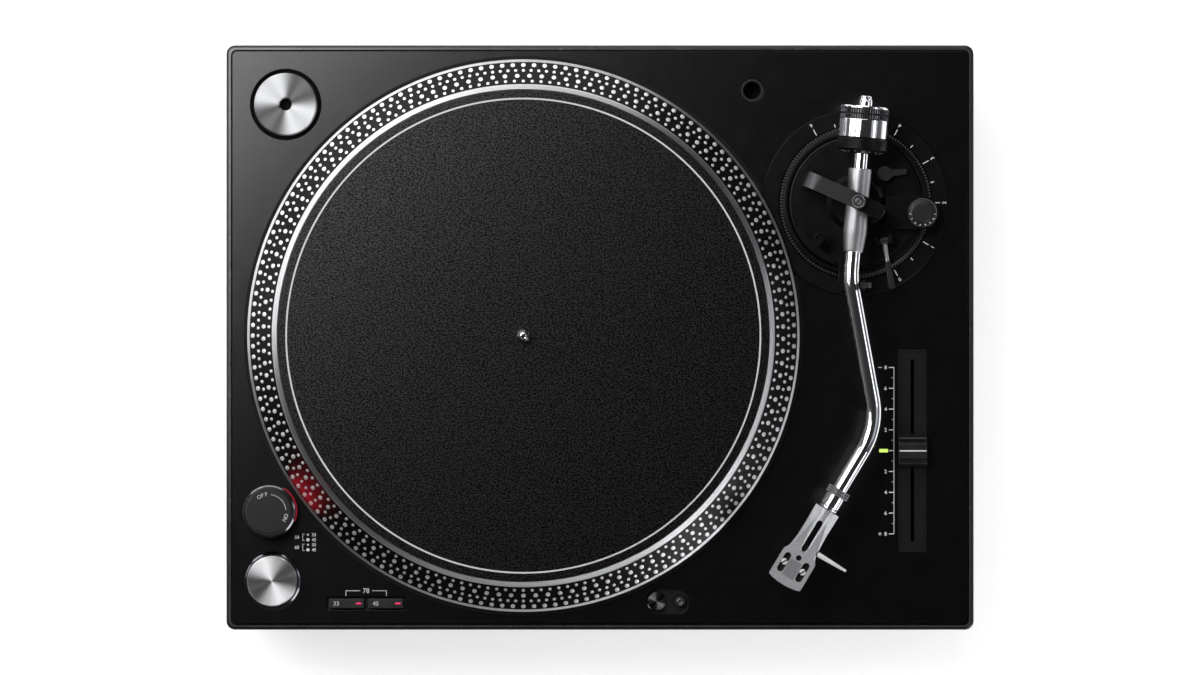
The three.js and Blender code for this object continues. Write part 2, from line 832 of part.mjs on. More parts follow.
function addMotor() {
  const group = groupAt(platterX, platterY, 0);
  const flangeBottom = castingUnderside - motorFlangeThickness;
  const bearingTop = webBottom - spindleFlangeThickness - runningGap;
  add("bearing_housing", lathe([
    [0, spindleBottom - runningGap - bearingFloor],
    [bearingRadius, spindleBottom - runningGap - bearingFloor],
    [bearingRadius, flangeBottom],
    [motorFlangeRadius, flangeBottom],
    [motorFlangeRadius, castingUnderside],
    [bearingRadius, castingUnderside],
    [bearingRadius, bearingTop],
    [spindleRadius + fixedGap, bearingTop],
    [spindleRadius + fixedGap, spindleBottom - runningGap],
    [0, spindleBottom - runningGap],
  ], hiddenSegments), materials.steel, group);
  const board = ringLathe([
    [statorInnerRadius, castingUnderside],
    [statorOuterRadius, castingUnderside],
    [statorOuterRadius, castingUnderside + statorThickness],
    [statorInnerRadius, castingUnderside + statorThickness],
  ], hiddenSegments);
  const coils = [];
  for (let i = 0; i < coilCount; i++) {
    const coil = rod(coilRadius, castingUnderside + statorThickness / 2,
      castingUnderside + statorThickness + coilHeight, tinySegments);
    coils.push(turned(moved(coil, coilCircleRadius, 0, 0), 360 * i / coilCount));
  }
  add("motor_stator", join(board, ...coils), materials.copper, group);
}

function addAdapter() {
  const bottom = cupFloor;
  const top = bottom + adapterHeight;
  add("disc_adapter", moved(ringLathe([
    [adapterHoleRadius, bottom],
    [adapterRadius, bottom],
    [adapterRadius, top - adapterBevel],
    [adapterRadius - adapterBevel, top],
    [adapterStepRadius, top],
    [adapterStepRadius - adapterStepDepth, top - adapterStepDepth],
    [adapterHoleRadius, top - adapterStepDepth],
  ], mediumSegments), adapterX, adapterY, 0), materials.aluminium);
}

function addPowerSwitch() {
  const group = groupAt(powerX, powerY, 0);
  const towerTop = deckTop + towerHeight - deckPlateThickness;
  const lensBottom = deckTop + lensLift - deckPlateThickness;
  const lensTop = lensBottom + lensHeight;
  const tower = ringLathe([
    [towerBoreRadius, castingTop],
    [towerRadius, castingTop],
    [towerRadius, towerTop],
    [towerBoreRadius, towerTop],
  ], mediumSegments);
  const window = slab(arcBand(towerBoreRadius - overrun, lensRadius + overrun, lensStartAngle, lensEndAngle,
    windowSteps), lensBottom, lensTop);
  add("strobe_tower", cut(tower, window), materials.blackPlastic, group);
  const slip = THREE.MathUtils.radToDeg(fixedGap / towerRadius);
  add("strobe_lens", slab(arcBand(towerBoreRadius + fixedGap, lensRadius, lensStartAngle + slip,
    lensEndAngle - slip, windowSteps), lensBottom + fixedGap, lensTop - fixedGap), materials.red, group);
  const lamp = box(lampLength, lampWidth, castingTop, castingTop + lampHeight);
  const lensMiddle = (lensStartAngle + lensEndAngle) / 2;
  add("strobe_lamp", turned(moved(lamp, lampReach, 0, 0), lensMiddle), materials.board, group);
  const dialBottom = towerTop + runningGap;
  const dialTop = dialBottom + dialHeight;
  const capBottom = dialTop - powerCapThickness;
  add("power_dial", ringLathe([
    [powerNeckRadius + runningGap, dialBottom],
    [dialRadius, dialBottom],
    [dialRadius, dialTop - dialBevel],
    [dialRadius - dialBevel, dialTop],
    [powerCapRadius + runningGap / 2, dialTop],
    [powerCapRadius + runningGap / 2, capBottom - runningGap],
    [powerNeckRadius + runningGap, capBottom - runningGap],
  ], mediumSegments), materials.blackPlastic, group);
  add("power_cap", lathe([
    [0, towerTop - powerNeckDepth],
    [powerNeckRadius, towerTop - powerNeckDepth],
    [powerNeckRadius, capBottom],
    [powerCapRadius, capBottom],
    [powerCapRadius, dialTop + fixedGap],
    [0, dialTop + fixedGap],
  ], mediumSegments), materials.blackPlastic, group);
}

function addStartButton() {
  const group = groupAt(startX, startY, 0);
  const surroundTop = deckTop + surroundHeight;
  add("start_surround", ringLathe([
    [startRadius + fixedGap, castingTop],
    [surroundRadius, castingTop],
    [surroundRadius, surroundTop - surroundBevel],
    [surroundRadius - surroundBevel, surroundTop],
    [startRadius + fixedGap, surroundTop],
  ], mediumSegments), materials.darkMetal, group);
  const top = deckTop + startHeight;
  const skirtBottom = deckTop + startHeight - startSkirt - deckPlateThickness / 2;
  add("start_button", lathe([
    [0, skirtBottom - startStemLength],
    [startStemRadius, skirtBottom - startStemLength],
    [startStemRadius, skirtBottom],
    [startRadius, skirtBottom],
    [startRadius, top - startBevel],
    [startRadius - startBevel, top],
    [0, top],
  ], mediumSegments), materials.aluminium, group);
}

function addSpeedButtons() {
  const buttonBottom = deckTop + speedButtonHeight - speedButtonSkirt;
  const stemBottom = buttonBottom - speedStemLength;
  const wellBottom = castingUnderside - speedWellHeight;
  const guides = [-1, 1].map((side) => moved(box(speedStemWidth + 2 * fixedGap, speedStemDepth + 2 * fixedGap,
    wellBottom - overrun, castingUnderside + overrun), side * speedButtonPitch / 2, 0, 0));
  const well = cut(box(speedWellWidth, speedWellDepth, wellBottom, castingUnderside), ...guides);
  add("speed_switch_well", moved(well, speedX, speedY, 0), materials.blackPlastic);
  const button = join(
    box(speedButtonWidth, speedButtonDepth, buttonBottom, deckTop + speedButtonHeight),
    box(speedStemWidth, speedStemDepth, stemBottom, buttonBottom + speedButtonSkirt / 2),
  );
  add("speed_button_33", moved(button, speedX - speedButtonPitch / 2, speedY, 0), materials.blackPlastic);
  add("speed_button_45", moved(button, speedX + speedButtonPitch / 2, speedY, 0), materials.blackPlastic);
}

function addTargetLight() {
  const top = deckTop + targetStandout;
  add("target_light", moved(lathe([
    [0, top - targetBodyLength],
    [targetRadius, top - targetBodyLength],
    [targetRadius, top - targetBevel],
    [targetRadius - targetBevel, top],
    [0, top],
  ], smallSegments), targetX, targetY, 0), materials.darkMetal);
  const release = rod(releaseRadius, deckTop + releaseStandout - releaseLength, deckTop + releaseStandout);
  add("target_release", moved(release, releaseX, targetY, 0), materials.darkMetal);
}

function addFader() {
  const group = groupAt(faderX, faderY, 0);
  const panel = box(faderPanelWidth, faderPanelLength, castingTop, deckTop + faderPanelRise);
  const slot = box(faderSlotWidth, faderSlotLength, castingTop - overrun, deckTop + faderPanelRise + overrun);
  add("fader_panel", cut(panel, slot), materials.blackPlastic, group);
  const body = box(faderBodyWidth, faderBodyLength, castingUnderside - faderBodyHeight, castingUnderside);
  const channel = box(faderChannelWidth, faderSlotLength, castingUnderside - faderChannelDepth,
    castingUnderside + overrun);
  add("fader_body", cut(body, channel), materials.steel, group);
  const knobBottom = deckTop + faderPanelRise + faderKnobLift;
  const knobTop = knobBottom + faderKnobHeight;
  const side = polygon([
    [-faderKnobLength / 2, 0],
    [faderKnobLength / 2, 0],
    [faderKnobTop / 2, faderKnobHeight],
    [-faderKnobTop / 2, faderKnobHeight],
  ]);
  const knob = new THREE.ExtrudeGeometry(side, { depth: faderPanelWidth, bevelEnabled: false })
    .rotateX(Math.PI / 2).rotateZ(Math.PI / 2).translate(-faderPanelWidth / 2, 0, knobBottom);
  const stem = box(faderStemWidth, faderStemLength, deckTop - faderStemDepth, (knobBottom + knobTop) / 2);
  add("fader_knob", join(knob, stem), materials.blackPlastic, group);
}

function addHeadshellSocket() {
  const bottom = deckTop - socketDepth;
  add("headshell_socket", moved(lathe([
    [0, bottom],
    [socketRadius, bottom],
    [socketRadius, deckTop],
    [socketBoreRadius, deckTop],
    [socketBoreRadius, bottom + socketFloor],
    [0, bottom + socketFloor],
  ], smallSegments), socketX, socketY, 0), materials.rubber);
}

function lying(geometry) {
  return geometry.clone().rotateX(-Math.PI / 2);
}

function addBackSockets() {
  const tray = moved(box(bayWidth, bayDepth, 0, bayHeight), 0, -bayDepth / 2, 0);
  const hollow = moved(box(bayWidth - 2 * bayWall, bayDepth, bayWall, bayHeight - bayWall), 0,
    -bayDepth / 2 + bayWall, 0);
  const middle = bayHeight / 2;
  const jacks = [];
  for (const side of [-1, 1]) {
    const jack = lying(rod(jackRadius, -bayWall / 2, jackLength, smallSegments));
    jacks.push(moved(jack, jackOffset + side * jackPitch / 2, bayWall - bayDepth, middle));
  }
  add("audio_sockets", moved(join(cut(tray, hollow), ...jacks), bayX, backFace, bayBottom),
    materials.blackPlastic);
  const post = lying(rod(groundRadius, 0, groundLength));
  add("ground_post", moved(post, bayX + groundOffset, backFace - bayDepth + bayWall, bayBottom + middle),
    materials.steel);
  const inletMiddle = inletHeight / 2;
  const body = moved(box(inletWidth, inletDepth, 0, inletHeight), 0, -inletDepth / 2, 0);
  const mouth = moved(box(inletWidth - 2 * inletWall, inletDepth, inletWall, inletHeight - inletWall), 0,
    -inletDepth / 2 + inletWall, 0);
  const pins = [];
  for (const side of [-1, 1]) {
    const pin = lying(rod(inletPinRadius, -inletWall / 2, inletPinLength, tinySegments));
    pins.push(moved(pin, side * inletPinPitch / 2, inletWall - inletDepth, inletMiddle));
  }
  add("mains_inlet", moved(join(cut(body, mouth), ...pins), inletX, backFace, bayBottom),
    materials.blackPlastic);
}

function boardOnPosts(width, depth) {
  const bottom = footHeight + coverThickness;
  const boardBottom = bottom + standoffHeight;
  const pieces = [];
  for (const side of [-1, 1]) {
    for (const end of [-1, 1]) {
      const post = rod(standoffRadius, bottom, boardBottom + boardThickness / 2, tinySegments);
      pieces.push(moved(post, side * (width / 2 - standoffInset), end * (depth / 2 - standoffInset), 0));
    }
  }
  return [box(width, depth, boardBottom, boardBottom + boardThickness), pieces, boardBottom];
}

function addBoards() {
  const [control, controlPosts, controlBottom] = boardOnPosts(controlWidth, controlDepth);
  const chip = box(chipWidth, chipWidth, controlBottom, controlBottom + boardThickness + chipHeight);
  add("control_board", moved(join(control, ...controlPosts, chip), controlX, controlY, 0), materials.board);
  const [supply, supplyPosts, supplyBottom] = boardOnPosts(supplyWidth, supplyDepth);
  const transformer = box(transformerWidth, transformerWidth, supplyBottom,
    supplyBottom + boardThickness + transformerHeight);
  add("power_supply", moved(join(supply, ...supplyPosts, transformer), supplyX, supplyY, 0), materials.board);
}

function addArmSupport() {
  const group = groupAt(armX, armY, 0);
  const bore = baseShaftRadius + runningGap;
  const flangeBottom = castingUnderside - sleeveFlangeThickness;
  add("height_sleeve", ringLathe([
    [bore, baseBottom - baseShaftDrop],
    [sleeveRadius, baseBottom - baseShaftDrop],
    [sleeveRadius, flangeBottom],
    [sleeveRadius + sleeveFlangeWidth, flangeBottom],
    [sleeveRadius + sleeveFlangeWidth, castingUnderside],
    [sleeveRadius, castingUnderside],
    [sleeveRadius, deckTop],
    [bore, deckTop],
  ], hiddenSegments), materials.darkMetal, group);
  add("height_scale", ringLathe([
    [ringRadius + runningGap, deckTop],
    [scaleRadius, deckTop],
    [scaleRadius - scaleBevel, deckTop + scaleThickness],
    [ringRadius + runningGap, deckTop + scaleThickness],
  ], mediumSegments), materials.deck, group);
  const ringBottom = deckTop + fixedGap;
  const ringTop = ringBottom + ringHeight;
  add("height_ring", ringLathe([
    [baseRadius + runningGap, ringBottom],
    [ringRadius, ringBottom],
    [ringRadius, ringTop - ringBevel],
    [ringRadius - ringBevel, ringTop],
    [baseRadius + runningGap, ringTop],
  ], mediumSegments), materials.blackPlastic, group);
}

function addArmBase() {
  const group = groupAt(armX, armY, 0);
  const body = lathe([
    [0, baseTop - baseThickness / 2],
    [baseShaftRadius - baseShaftWall, baseTop - baseThickness / 2],
    [baseShaftRadius - baseShaftWall, baseBottom - baseShaftDrop],
    [baseShaftRadius, baseBottom - baseShaftDrop],
    [baseShaftRadius, baseBottom],
    [baseRadius, baseBottom],
    [baseRadius, baseTop - baseBevel],
    [baseRadius - baseBevel, baseTop],
    [pillarRadius, baseTop],
    [pillarRadius, pillarTop - pillarStep],
    [pillarRadius - pillarStep, pillarTop],
    [0, pillarTop],
  ], mediumSegments);
  const bore = rod(pillarBoreRadius, pillarTop - yokePinLength - fixedGap, pillarTop + overrun, tinySegments);
  const earHeight = cueRise + cueHubRadius;
  const earSpan = cueHubLength + 2 * runningGap + 2 * cueEarThickness;
  const ears = cut(
    box(earSpan, cueEarWidth, baseTop - baseBevel, baseTop + earHeight),
    box(cueHubLength + 2 * runningGap, cueEarWidth + overrun, baseTop, baseTop + earHeight + overrun),
  );
  const axleHole = new THREE.CylinderGeometry(cueAxleRadius + runningGap, cueAxleRadius + runningGap,
    earSpan + overrun, tinySegments).rotateZ(Math.PI / 2).translate(0, 0, baseTop + cueRise);
  const bracket = moved(turned(cut(ears, axleHole), cueAngle), cueX, cueY, 0);
  add("arm_base", join(cut(body, bore), bracket), materials.darkMetal, group);
  addArmRest(group);
  addAntiskate(group);
  addLock(group);
  addLift(group);
  addCueLever(group);
  addBridge(group);
}

function addArmRest(group) {
  const cradle = armAxis - tubeRadius - fixedGap;
  const foot = moved(box(restFootWidth, restForward + restDepth / 2 - restFootInner, baseTop,
    baseTop + restFootThickness), restCentreX, -(restForward + restDepth / 2 + restFootInner) / 2, 0);
  const column = moved(box(restColumnWidth, restDepth, baseTop, cradle), restCentreX, -restForward, 0);
  const bar = moved(box(2 * restHalfSpan + restProngWidth, restDepth, cradle - restBarThickness, cradle),
    restCentreX, -restForward, 0);
  const prong = moved(box(restProngWidth, restDepth, cradle - restBarThickness, armAxis + restProngRise),
    restCentreX + restHalfSpan, -restForward, 0);
  const hingeX = restCentreX + restHalfSpan;
  const hingeZ = armAxis + clipHingeRise;
  const knuckleSpace = new THREE.CylinderGeometry(clipKnuckleRadius + fixedGap, clipKnuckleRadius + fixedGap,
    restDepth + overrun, tinySegments).translate(hingeX, -restForward, hingeZ);
  add("arm_rest", cut(join(foot, column, bar, prong), knuckleSpace), materials.darkMetal, group);
  const tubeOffset = hingeX - clipTubeX;
  const sweepStart = THREE.MathUtils.radToDeg(Math.atan2(clipHingeRise, tubeOffset));
  const strap = slab(arcBand(clipInnerRadius, clipInnerRadius + clipThickness, sweepStart, 180, windowSteps),
    -clipDepth / 2, clipDepth / 2);
  const knuckle = rod(clipKnuckleRadius, -clipDepth / 2, clipDepth / 2, tinySegments);
  const clip = join(moved(strap, -tubeOffset, -clipHingeRise, 0), knuckle);
  const open = turned(clip, -clipOpenAngle).rotateX(Math.PI / 2);
  add("rest_clip", moved(open, hingeX, -restForward, hingeZ), materials.satin, group);
}

function addAntiskate(group) {
  const blockTop = baseTop + blockHeight;
  const length = blockEnd - blockStart;
  const block = moved(box(length, blockWidth, baseTop, blockTop), blockStart + length / 2, blockCentreY, 0);
  const end = moved(rod(blockWidth / 2, baseTop, blockTop, smallSegments), blockEnd, blockCentreY, 0);
  const pillar = rod(pillarRadius + fixedGap, baseTop - overrun, blockTop + overrun, mediumSegments);
  const bore = moved(rod(antiskateAxleRadius + runningGap, blockTop - antiskateAxleDepth - fixedGap,
    blockTop + overrun, tinySegments), antiskateX, blockCentreY, 0);
  const ears = moved(rod(blockWidth / 2, baseTop - overrun, blockTop + overrun), cueX, cueY, 0);
  add("antiskate_block", cut(join(block, end), pillar, bore, ears), materials.darkMetal, group);
  const knobBottom = blockTop + runningGap;
  const knobTop = knobBottom + antiskateHeight;
  add("antiskate_knob", moved(lathe([
    [0, blockTop - antiskateAxleDepth],
    [antiskateAxleRadius, blockTop - antiskateAxleDepth],
    [antiskateAxleRadius, knobBottom],
    [antiskateRadius, knobBottom],
    [antiskateRadius, knobTop - antiskateBevel],
    [antiskateRadius - antiskateBevel, knobTop],
    [0, knobTop],
  ], smallSegments), antiskateX, blockCentreY, 0), materials.darkMetal, group);
}

function addLock(group) {
  const bottom = baseTop + fixedGap;
  const top = bottom + lockHeight;
  const hub = rod(lockRadius, bottom, top);
  const handle = slab(polygon([
    [0, -lockRootWidth / 2],
    [lockLength, -lockTipWidth / 2],
    [lockLength, lockTipWidth / 2],
    [0, lockRootWidth / 2],
  ]), top - lockHandleThickness, top);
  add("lock_lever", moved(turned(join(hub, handle), lockAngle), lockX, lockY, 0), materials.blackPlastic,
    group);
}

function addLift(group) {
  const angle = THREE.MathUtils.degToRad(liftAngle);
  const x = cylinderCircleRadius * Math.cos(angle);
  const y = cylinderCircleRadius * Math.sin(angle);
  const cylinderTop = baseTop + cylinderHeight;
  const cylinder = ringLathe([
    [cylinderBoreRadius, baseTop],
    [cylinderRadius, baseTop],
    [cylinderRadius, cylinderTop],
    [cylinderBoreRadius, cylinderTop],
  ], smallSegments);
  add("lift_cylinder", moved(cylinder, x, y, 0), materials.darkMetal, group);
  const railTop = armAxis - tubeRadius - liftDrop;
  const railBottom = railTop - liftThickness;
  const rail = slab(arcBand(liftInnerRadius, liftOuterRadius, liftAngle - liftSpan / 2,
    liftAngle + liftSpan / 2, windowSteps), railBottom, railTop);
  const webLength = (liftInnerRadius + liftOuterRadius) / 2 - cylinderCircleRadius;
  const web = moved(box(webLength, liftWebWidth, railBottom, railTop),
    cylinderCircleRadius + webLength / 2, 0, 0);
  const stem = moved(rod(liftRodRadius, cylinderTop - liftRodDepth, railTop, tinySegments),
    cylinderCircleRadius, 0, 0);
  add("lift_rail", join(rail, turned(join(web, stem), liftAngle)), materials.blackPlastic, group);
}

function addCueLever(group) {
  const pivot = groupAt(cueX, cueY, baseTop + cueRise, group);
  const axis = alongHeading(cueAngle, pivot);
  const hub = new THREE.CylinderGeometry(cueHubRadius, cueHubRadius, cueHubLength, smallSegments)
    .rotateZ(Math.PI / 2);
  const earSpan = cueHubLength + 2 * runningGap + 2 * cueEarThickness;
  const axle = new THREE.CylinderGeometry(cueAxleRadius, cueAxleRadius, earSpan, tinySegments)
    .rotateZ(Math.PI / 2);
  const shaft = rod(cueRodRadius, 0, cueRodLength, tinySegments);
  const paddleOutline = polygon([
    [-cuePaddleWidth / 2, -cueRodLength + cueRodRadius],
    [cuePaddleWidth / 2, -cueRodLength + cueRodRadius],
    [cuePaddleTipWidth / 2, -cueRodLength - cuePaddleLength],
    [-cuePaddleTipWidth / 2, -cueRodLength - cuePaddleLength],
  ]);
  const paddle = slab(paddleOutline, -cuePaddleThickness / 2, cuePaddleThickness / 2).rotateX(-Math.PI / 2);
  add("cue_lever", join(hub, axle, shaft, paddle), materials.blackPlastic, axis);
}

function addBridge(group) {
  const bar = moved(box(bridgeReach, yokeWidth, bridgeBottom, bridgeTop), bridgeReach / 2, 0, 0);
  const end = rod(yokeWidth / 2, bridgeBottom, bridgeTop);
  const side = polygon([
    [bridgeReach - bridgeSlope, bridgeBottom],
    [bridgeReach, bridgeTop],
    [bridgeReach + bridgeSlope, bridgeTop - bridgeSlope],
    [bridgeReach + bridgeSlope, baseTop],
    [bridgeReach + bridgeSlope - bridgePostThickness, baseTop],
    [bridgeReach + bridgeSlope - bridgePostThickness, bridgeBottom - bridgeSlope / 2],
  ]);
  const post = new THREE.ExtrudeGeometry(side, { depth: yokeWidth, bevelEnabled: false })
    .rotateX(Math.PI / 2).translate(0, yokeWidth / 2, 0);
  const screw = rod(screwRadius, bridgeTop - overrun, bridgeTop + screwHeight);
  const pin = rod(topPinRadius, yokeTopTop - topPinDepth, bridgeBottom + overrun, tinySegments);
  add("pivot_bridge", turned(join(bar, end, post, screw, pin), bridgeAngle), materials.satin, group);
}

function addYoke(group) {
  const discBottom = pillarTop + runningGap;
  const discTop = discBottom + yokeDiscThickness;
  const disc = rod(yokeDiscRadius, discBottom, discTop, smallSegments);
  const pin = rod(yokePinRadius, pillarTop - yokePinLength, discTop, tinySegments);
  const frame = box(2 * yokeHalfLength, yokeWidth, discBottom, yokeTopTop);
  const opening = box(2 * yokeInner, yokeWidth + overrun, discTop, yokeTopBottom);
  const axleBore = new THREE.CylinderGeometry(pitchSocketRadius, pitchSocketRadius, 2 * pitchSocketReach,
    tinySegments).rotateZ(Math.PI / 2).translate(0, 0, armAxis);
  const topSocket = rod(topSocketRadius, yokeTopTop - topPinDepth - fixedGap, yokeTopTop + overrun,
    tinySegments);
  const yoke = join(disc, pin, cut(frame, opening, axleBore, topSocket));
  add("arm_yoke", turned(yoke, yokeAngle), materials.darkMetal, group);
}

function addHousing(arm) {
  const shell = lathe([
    [0, -housingRear],
    [housingRearRadius - fixedGap, -housingRear],
    [housingRearRadius, -housingRear + fixedGap],
    [housingMiddleRadius, housingMiddle],
    [housingFrontRadius, housingFront],
    [0, housingFront],
  ], smallSegments);
  const tubeBore = rod(tubeRadius + fixedGap, tubeStart - fixedGap, housingFront + overrun);
  const stubBore = rod(stubRadius + fixedGap, -housingRear - overrun, -stubStart + fixedGap);
  const axle = new THREE.CylinderGeometry(pitchAxleRadius, pitchAxleRadius, 2 * pitchAxleReach, tinySegments)
    .rotateZ(Math.PI / 2).rotateY(THREE.MathUtils.degToRad(armAngle - yokeAngle));
  add("arm_housing", join(cut(shell, tubeBore, stubBore), axle), materials.satin,
    alongHeading(armAngle, arm));
}

// The arm's centreline: three straight runs joined by two round bends.
function tubePath() {
  const corner = ahead(armAngle, firstCorner);
  const second = corner.clone().add(ahead(middleAngle, cornerSpacing));
  const stylus = second.clone().add(ahead(headAngle, stylusReach));
  const start = ahead(armAngle, tubeStart);
  const end = stylus.clone().sub(ahead(headAngle, tubeEndReach));
  const path = [start];
  for (const [middle, before, after, radius] of [
    [corner, armAngle, middleAngle, firstBendRadius],
    [second, middleAngle, headAngle, secondBendRadius],
  ]) {
    const turn = THREE.MathUtils.degToRad(after - before);
    const tangent = Math.abs(radius * Math.tan(turn / 2));
    const entry = middle.clone().sub(ahead(before, tangent));
    const side = Math.sign(turn);
    const centre = entry.clone().add(ahead(before + side * 90, radius));
    for (let i = 0; i <= bendSteps; i++) {
      const heading = before + (after - before) * i / bendSteps;
      path.push(centre.clone().sub(ahead(heading + side * 90, radius)));
    }
  }
  path.push(end);
  return { path, stylus };
}

function addTube(arm) {
  const { path } = tubePath();
  const curve = new THREE.CurvePath();
  for (let i = 1; i < path.length; i++) {
    const from = new THREE.Vector3(path[i - 1].x, path[i - 1].y, 0);
    const to = new THREE.Vector3(path[i].x, path[i].y, 0);
    curve.add(new THREE.LineCurve3(from, to));
  }
  const section = [];
  for (let i = 0; i < tubeSides; i++) {
    const angle = 2 * Math.PI * i / tubeSides;
    section.push([tubeRadius * Math.cos(angle), tubeRadius * Math.sin(angle)]);
  }
  const tube = new THREE.ExtrudeGeometry(polygon(section), { steps: tubeSteps, extrudePath: curve });
  add("arm_tube", tube, materials.chrome, arm);
}

function addWeight(arm) {
  const axis = alongHeading(armAngle, arm);
  add("rear_stub", rod(stubRadius, -stubEnd, -stubStart), materials.chrome, axis);
  add("weight_core", ringLathe([
    [stubRadius + fixedGap, -coreEnd],
    [coreRadius, -coreEnd],
    [coreRadius, -coreStart],
    [stubRadius + fixedGap, -coreStart],
  ], smallSegments), materials.rubber, axis);
  add("counterweight", ringLathe([
    [coreRadius + fixedGap, -weightEnd],
    [weightRadius, -weightEnd],
    [weightRadius, -weightGripEnd],
    [weightGripRadius, -weightGripEnd],
    [weightGripRadius, -weightGripStart],
    [weightRadius, -weightGripStart],
    [weightRadius, -weightStart],
    [coreRadius + fixedGap, -weightStart],
  ], mediumSegments), materials.chrome, axis);
  add("weight_dial", ringLathe([
    [coreRadius + fixedGap, -weightStart + fixedGap],
    [weightDialRadius, -weightStart + fixedGap],
    [weightDialRadius, -weightDialStart - weightDialCone],
    [weightDialMouth, -weightDialStart],
    [coreRadius + fixedGap, -weightDialStart],
  ], mediumSegments), materials.blackPlastic, axis);
}

// Parts on the headshell's own axis, with +Z running forward from its neck and +Y up.
function addHead(arm) {
  const { stylus } = tubePath();
  const neck = stylus.clone().sub(ahead(headAngle, neckReach));
  const axis = alongHeading(headAngle, groupAt(neck.x, neck.y, 0, arm));
  const collarFront = -collarGap;
  const collarRear = collarFront - collarLength;
  add("collar", ringLathe([
    [collarBoreRadius, collarRear],
    [collarGripRadius, collarRear],
    [collarGripRadius, collarRear + collarGripLength],
    [collarRadius, collarRear + collarGripLength],
    [collarRadius, collarFront],
    [collarBoreRadius, collarFront],
  ], smallSegments), materials.chrome, axis);
  addHeadshell(axis);
  addCartridge(axis);
  addFingerLift(axis);
}

// An outline drawn with its x to the right and its y forward, made upright between two heights.
function plate(shape, bottom, top) {
  return slab(shape, -top, -bottom).rotateX(Math.PI / 2);
}

function addHeadshell(axis) {
  const side = [
    [shellNeckHalfWidth, 0],
    [shellWaistHalfWidth, shellWaistStart],
    [shellWaistHalfWidth, shellWaistEnd],
    [shellShoulderHalfWidth, shellShoulderStart],
    [shellFrontHalfWidth, shellShoulderEnd],
    [shellFrontHalfWidth, shellSide],
    [shellFrontHalfWidth / 2, (shellSide + 2 * shellLength) / 3],
  ];
  const outline = [...side, [0, shellLength], ...side.map(([x, y]) => [-x, y]).reverse()];
  const bottom = shellLift - shellThickness;
  const blank = plate(polygon(outline), bottom, shellLift);
  const plug = rod(plugRadius, -plugLength, shellSlotStart - shellSlotWidth / 2);
  const slotShape = new THREE.Shape();
  const slotRadius = shellSlotWidth / 2;
  slotShape.absarc(0, shellSlotEnd - slotRadius, slotRadius, 0, Math.PI);
  slotShape.absarc(0, shellSlotStart + slotRadius, slotRadius, Math.PI, 2 * Math.PI);
  const cutBottom = bottom - overrun;
  const cutTop = shellLift + overrun;
  const slot = plate(slotShape, cutBottom, cutTop);
  const hole = rod(shellHoleRadius, -cutTop, -cutBottom, tinySegments).rotateX(Math.PI / 2)
    .translate(0, 0, shellHoleAt);
  const mountSlots = [];
  for (const half of [-1, 1]) {
    const shape = roundedRectangle(mountSlotWidth, mountSlotLength, mountSlotWidth / 2 - fixedGap);
    mountSlots.push(moved(plate(shape, cutBottom, cutTop), half * mountSlotOffset, 0, mountSlotAt));
  }
  add("headshell", join(cut(blank, slot, hole, ...mountSlots), plug), materials.satin, axis);
}

function addCartridge(axis) {
  const top = shellLift - shellThickness;
  const bottom = top - cartridgeHeight;
  const side = polygon([
    [cartridgeStart, top],
    [cartridgeStart, bottom + cartridgeSlope],
    [cartridgeStart + cartridgeSlope, bottom],
    [cartridgeEnd - cartridgeNose, bottom],
    [cartridgeEnd, bottom + cartridgeNose],
    [cartridgeEnd, top],
  ]);
  const body = new THREE.ExtrudeGeometry(side, { depth: cartridgeWidth, bevelEnabled: false })
    .rotateY(-Math.PI / 2).translate(cartridgeWidth / 2, 0, 0);
  const block = new THREE.BoxGeometry(stylusBlockWidth, stylusBlockDepth, stylusBlockLength)
    .translate(0, bottom, neckReach - stylusBlockLength / 2 + stylusBlockWidth / 4);
  const tipLength = bottom - (stylusTip - armAxis);
  const tip = new THREE.CylinderGeometry(2 * stylusTipRadius, stylusTipRadius / 2, tipLength, tinySegments)
    .translate(0, bottom - tipLength / 2, neckReach);
  add("cartridge", join(body, block, tip), materials.blackPlastic, axis);
}

function addFingerLift(axis) {
  const length = fingerReach - shellShoulderHalfWidth - fixedGap;
  const shaft = new THREE.CylinderGeometry(fingerTipRadius, fingerRadius, length, tinySegments)
    .rotateZ(-Math.PI / 2).translate(shellShoulderHalfWidth + fixedGap + length / 2, 0, 0);
  const bend = Math.atan2(fingerRise, length);
  const raised = shaft.translate(-shellShoulderHalfWidth, 0, 0).rotateZ(bend)
    .translate(shellShoulderHalfWidth, 0, 0);
  add("finger_lift", moved(raised, 0, shellLift - shellThickness / 2, fingerAt), materials.chrome, axis);
}

addCasting();
addDeckPlate();
addLowerCase();
addPlatter();
addMotor();
addAdapter();
addPowerSwitch();
addStartButton();
addSpeedButtons();
addTargetLight();
addFader();
addHeadshellSocket();
addBackSockets();
addBoards();
addArmSupport();
addArmBase();
const armGroup = groupAt(armX, armY, armAxis);
addYoke(groupAt(armX, armY, 0));
addHousing(armGroup);
addTube(armGroup);
addWeight(armGroup);
addHead(armGroup);

export default turntable;
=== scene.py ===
"""A direct-drive turntable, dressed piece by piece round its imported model.

It is laid out as an add-on: sizes and colours are properties, and each piece or group of like pieces has
an operator. A piece is modelled in millimetres, on its own axis, then put in its place and made metres.
"""
import json
from math import atan2, cos, degrees, hypot, pi, radians, sin, tan

import bpy
from bpy.props import FloatProperty, FloatVectorProperty, PointerProperty
from mathutils import Matrix, Vector


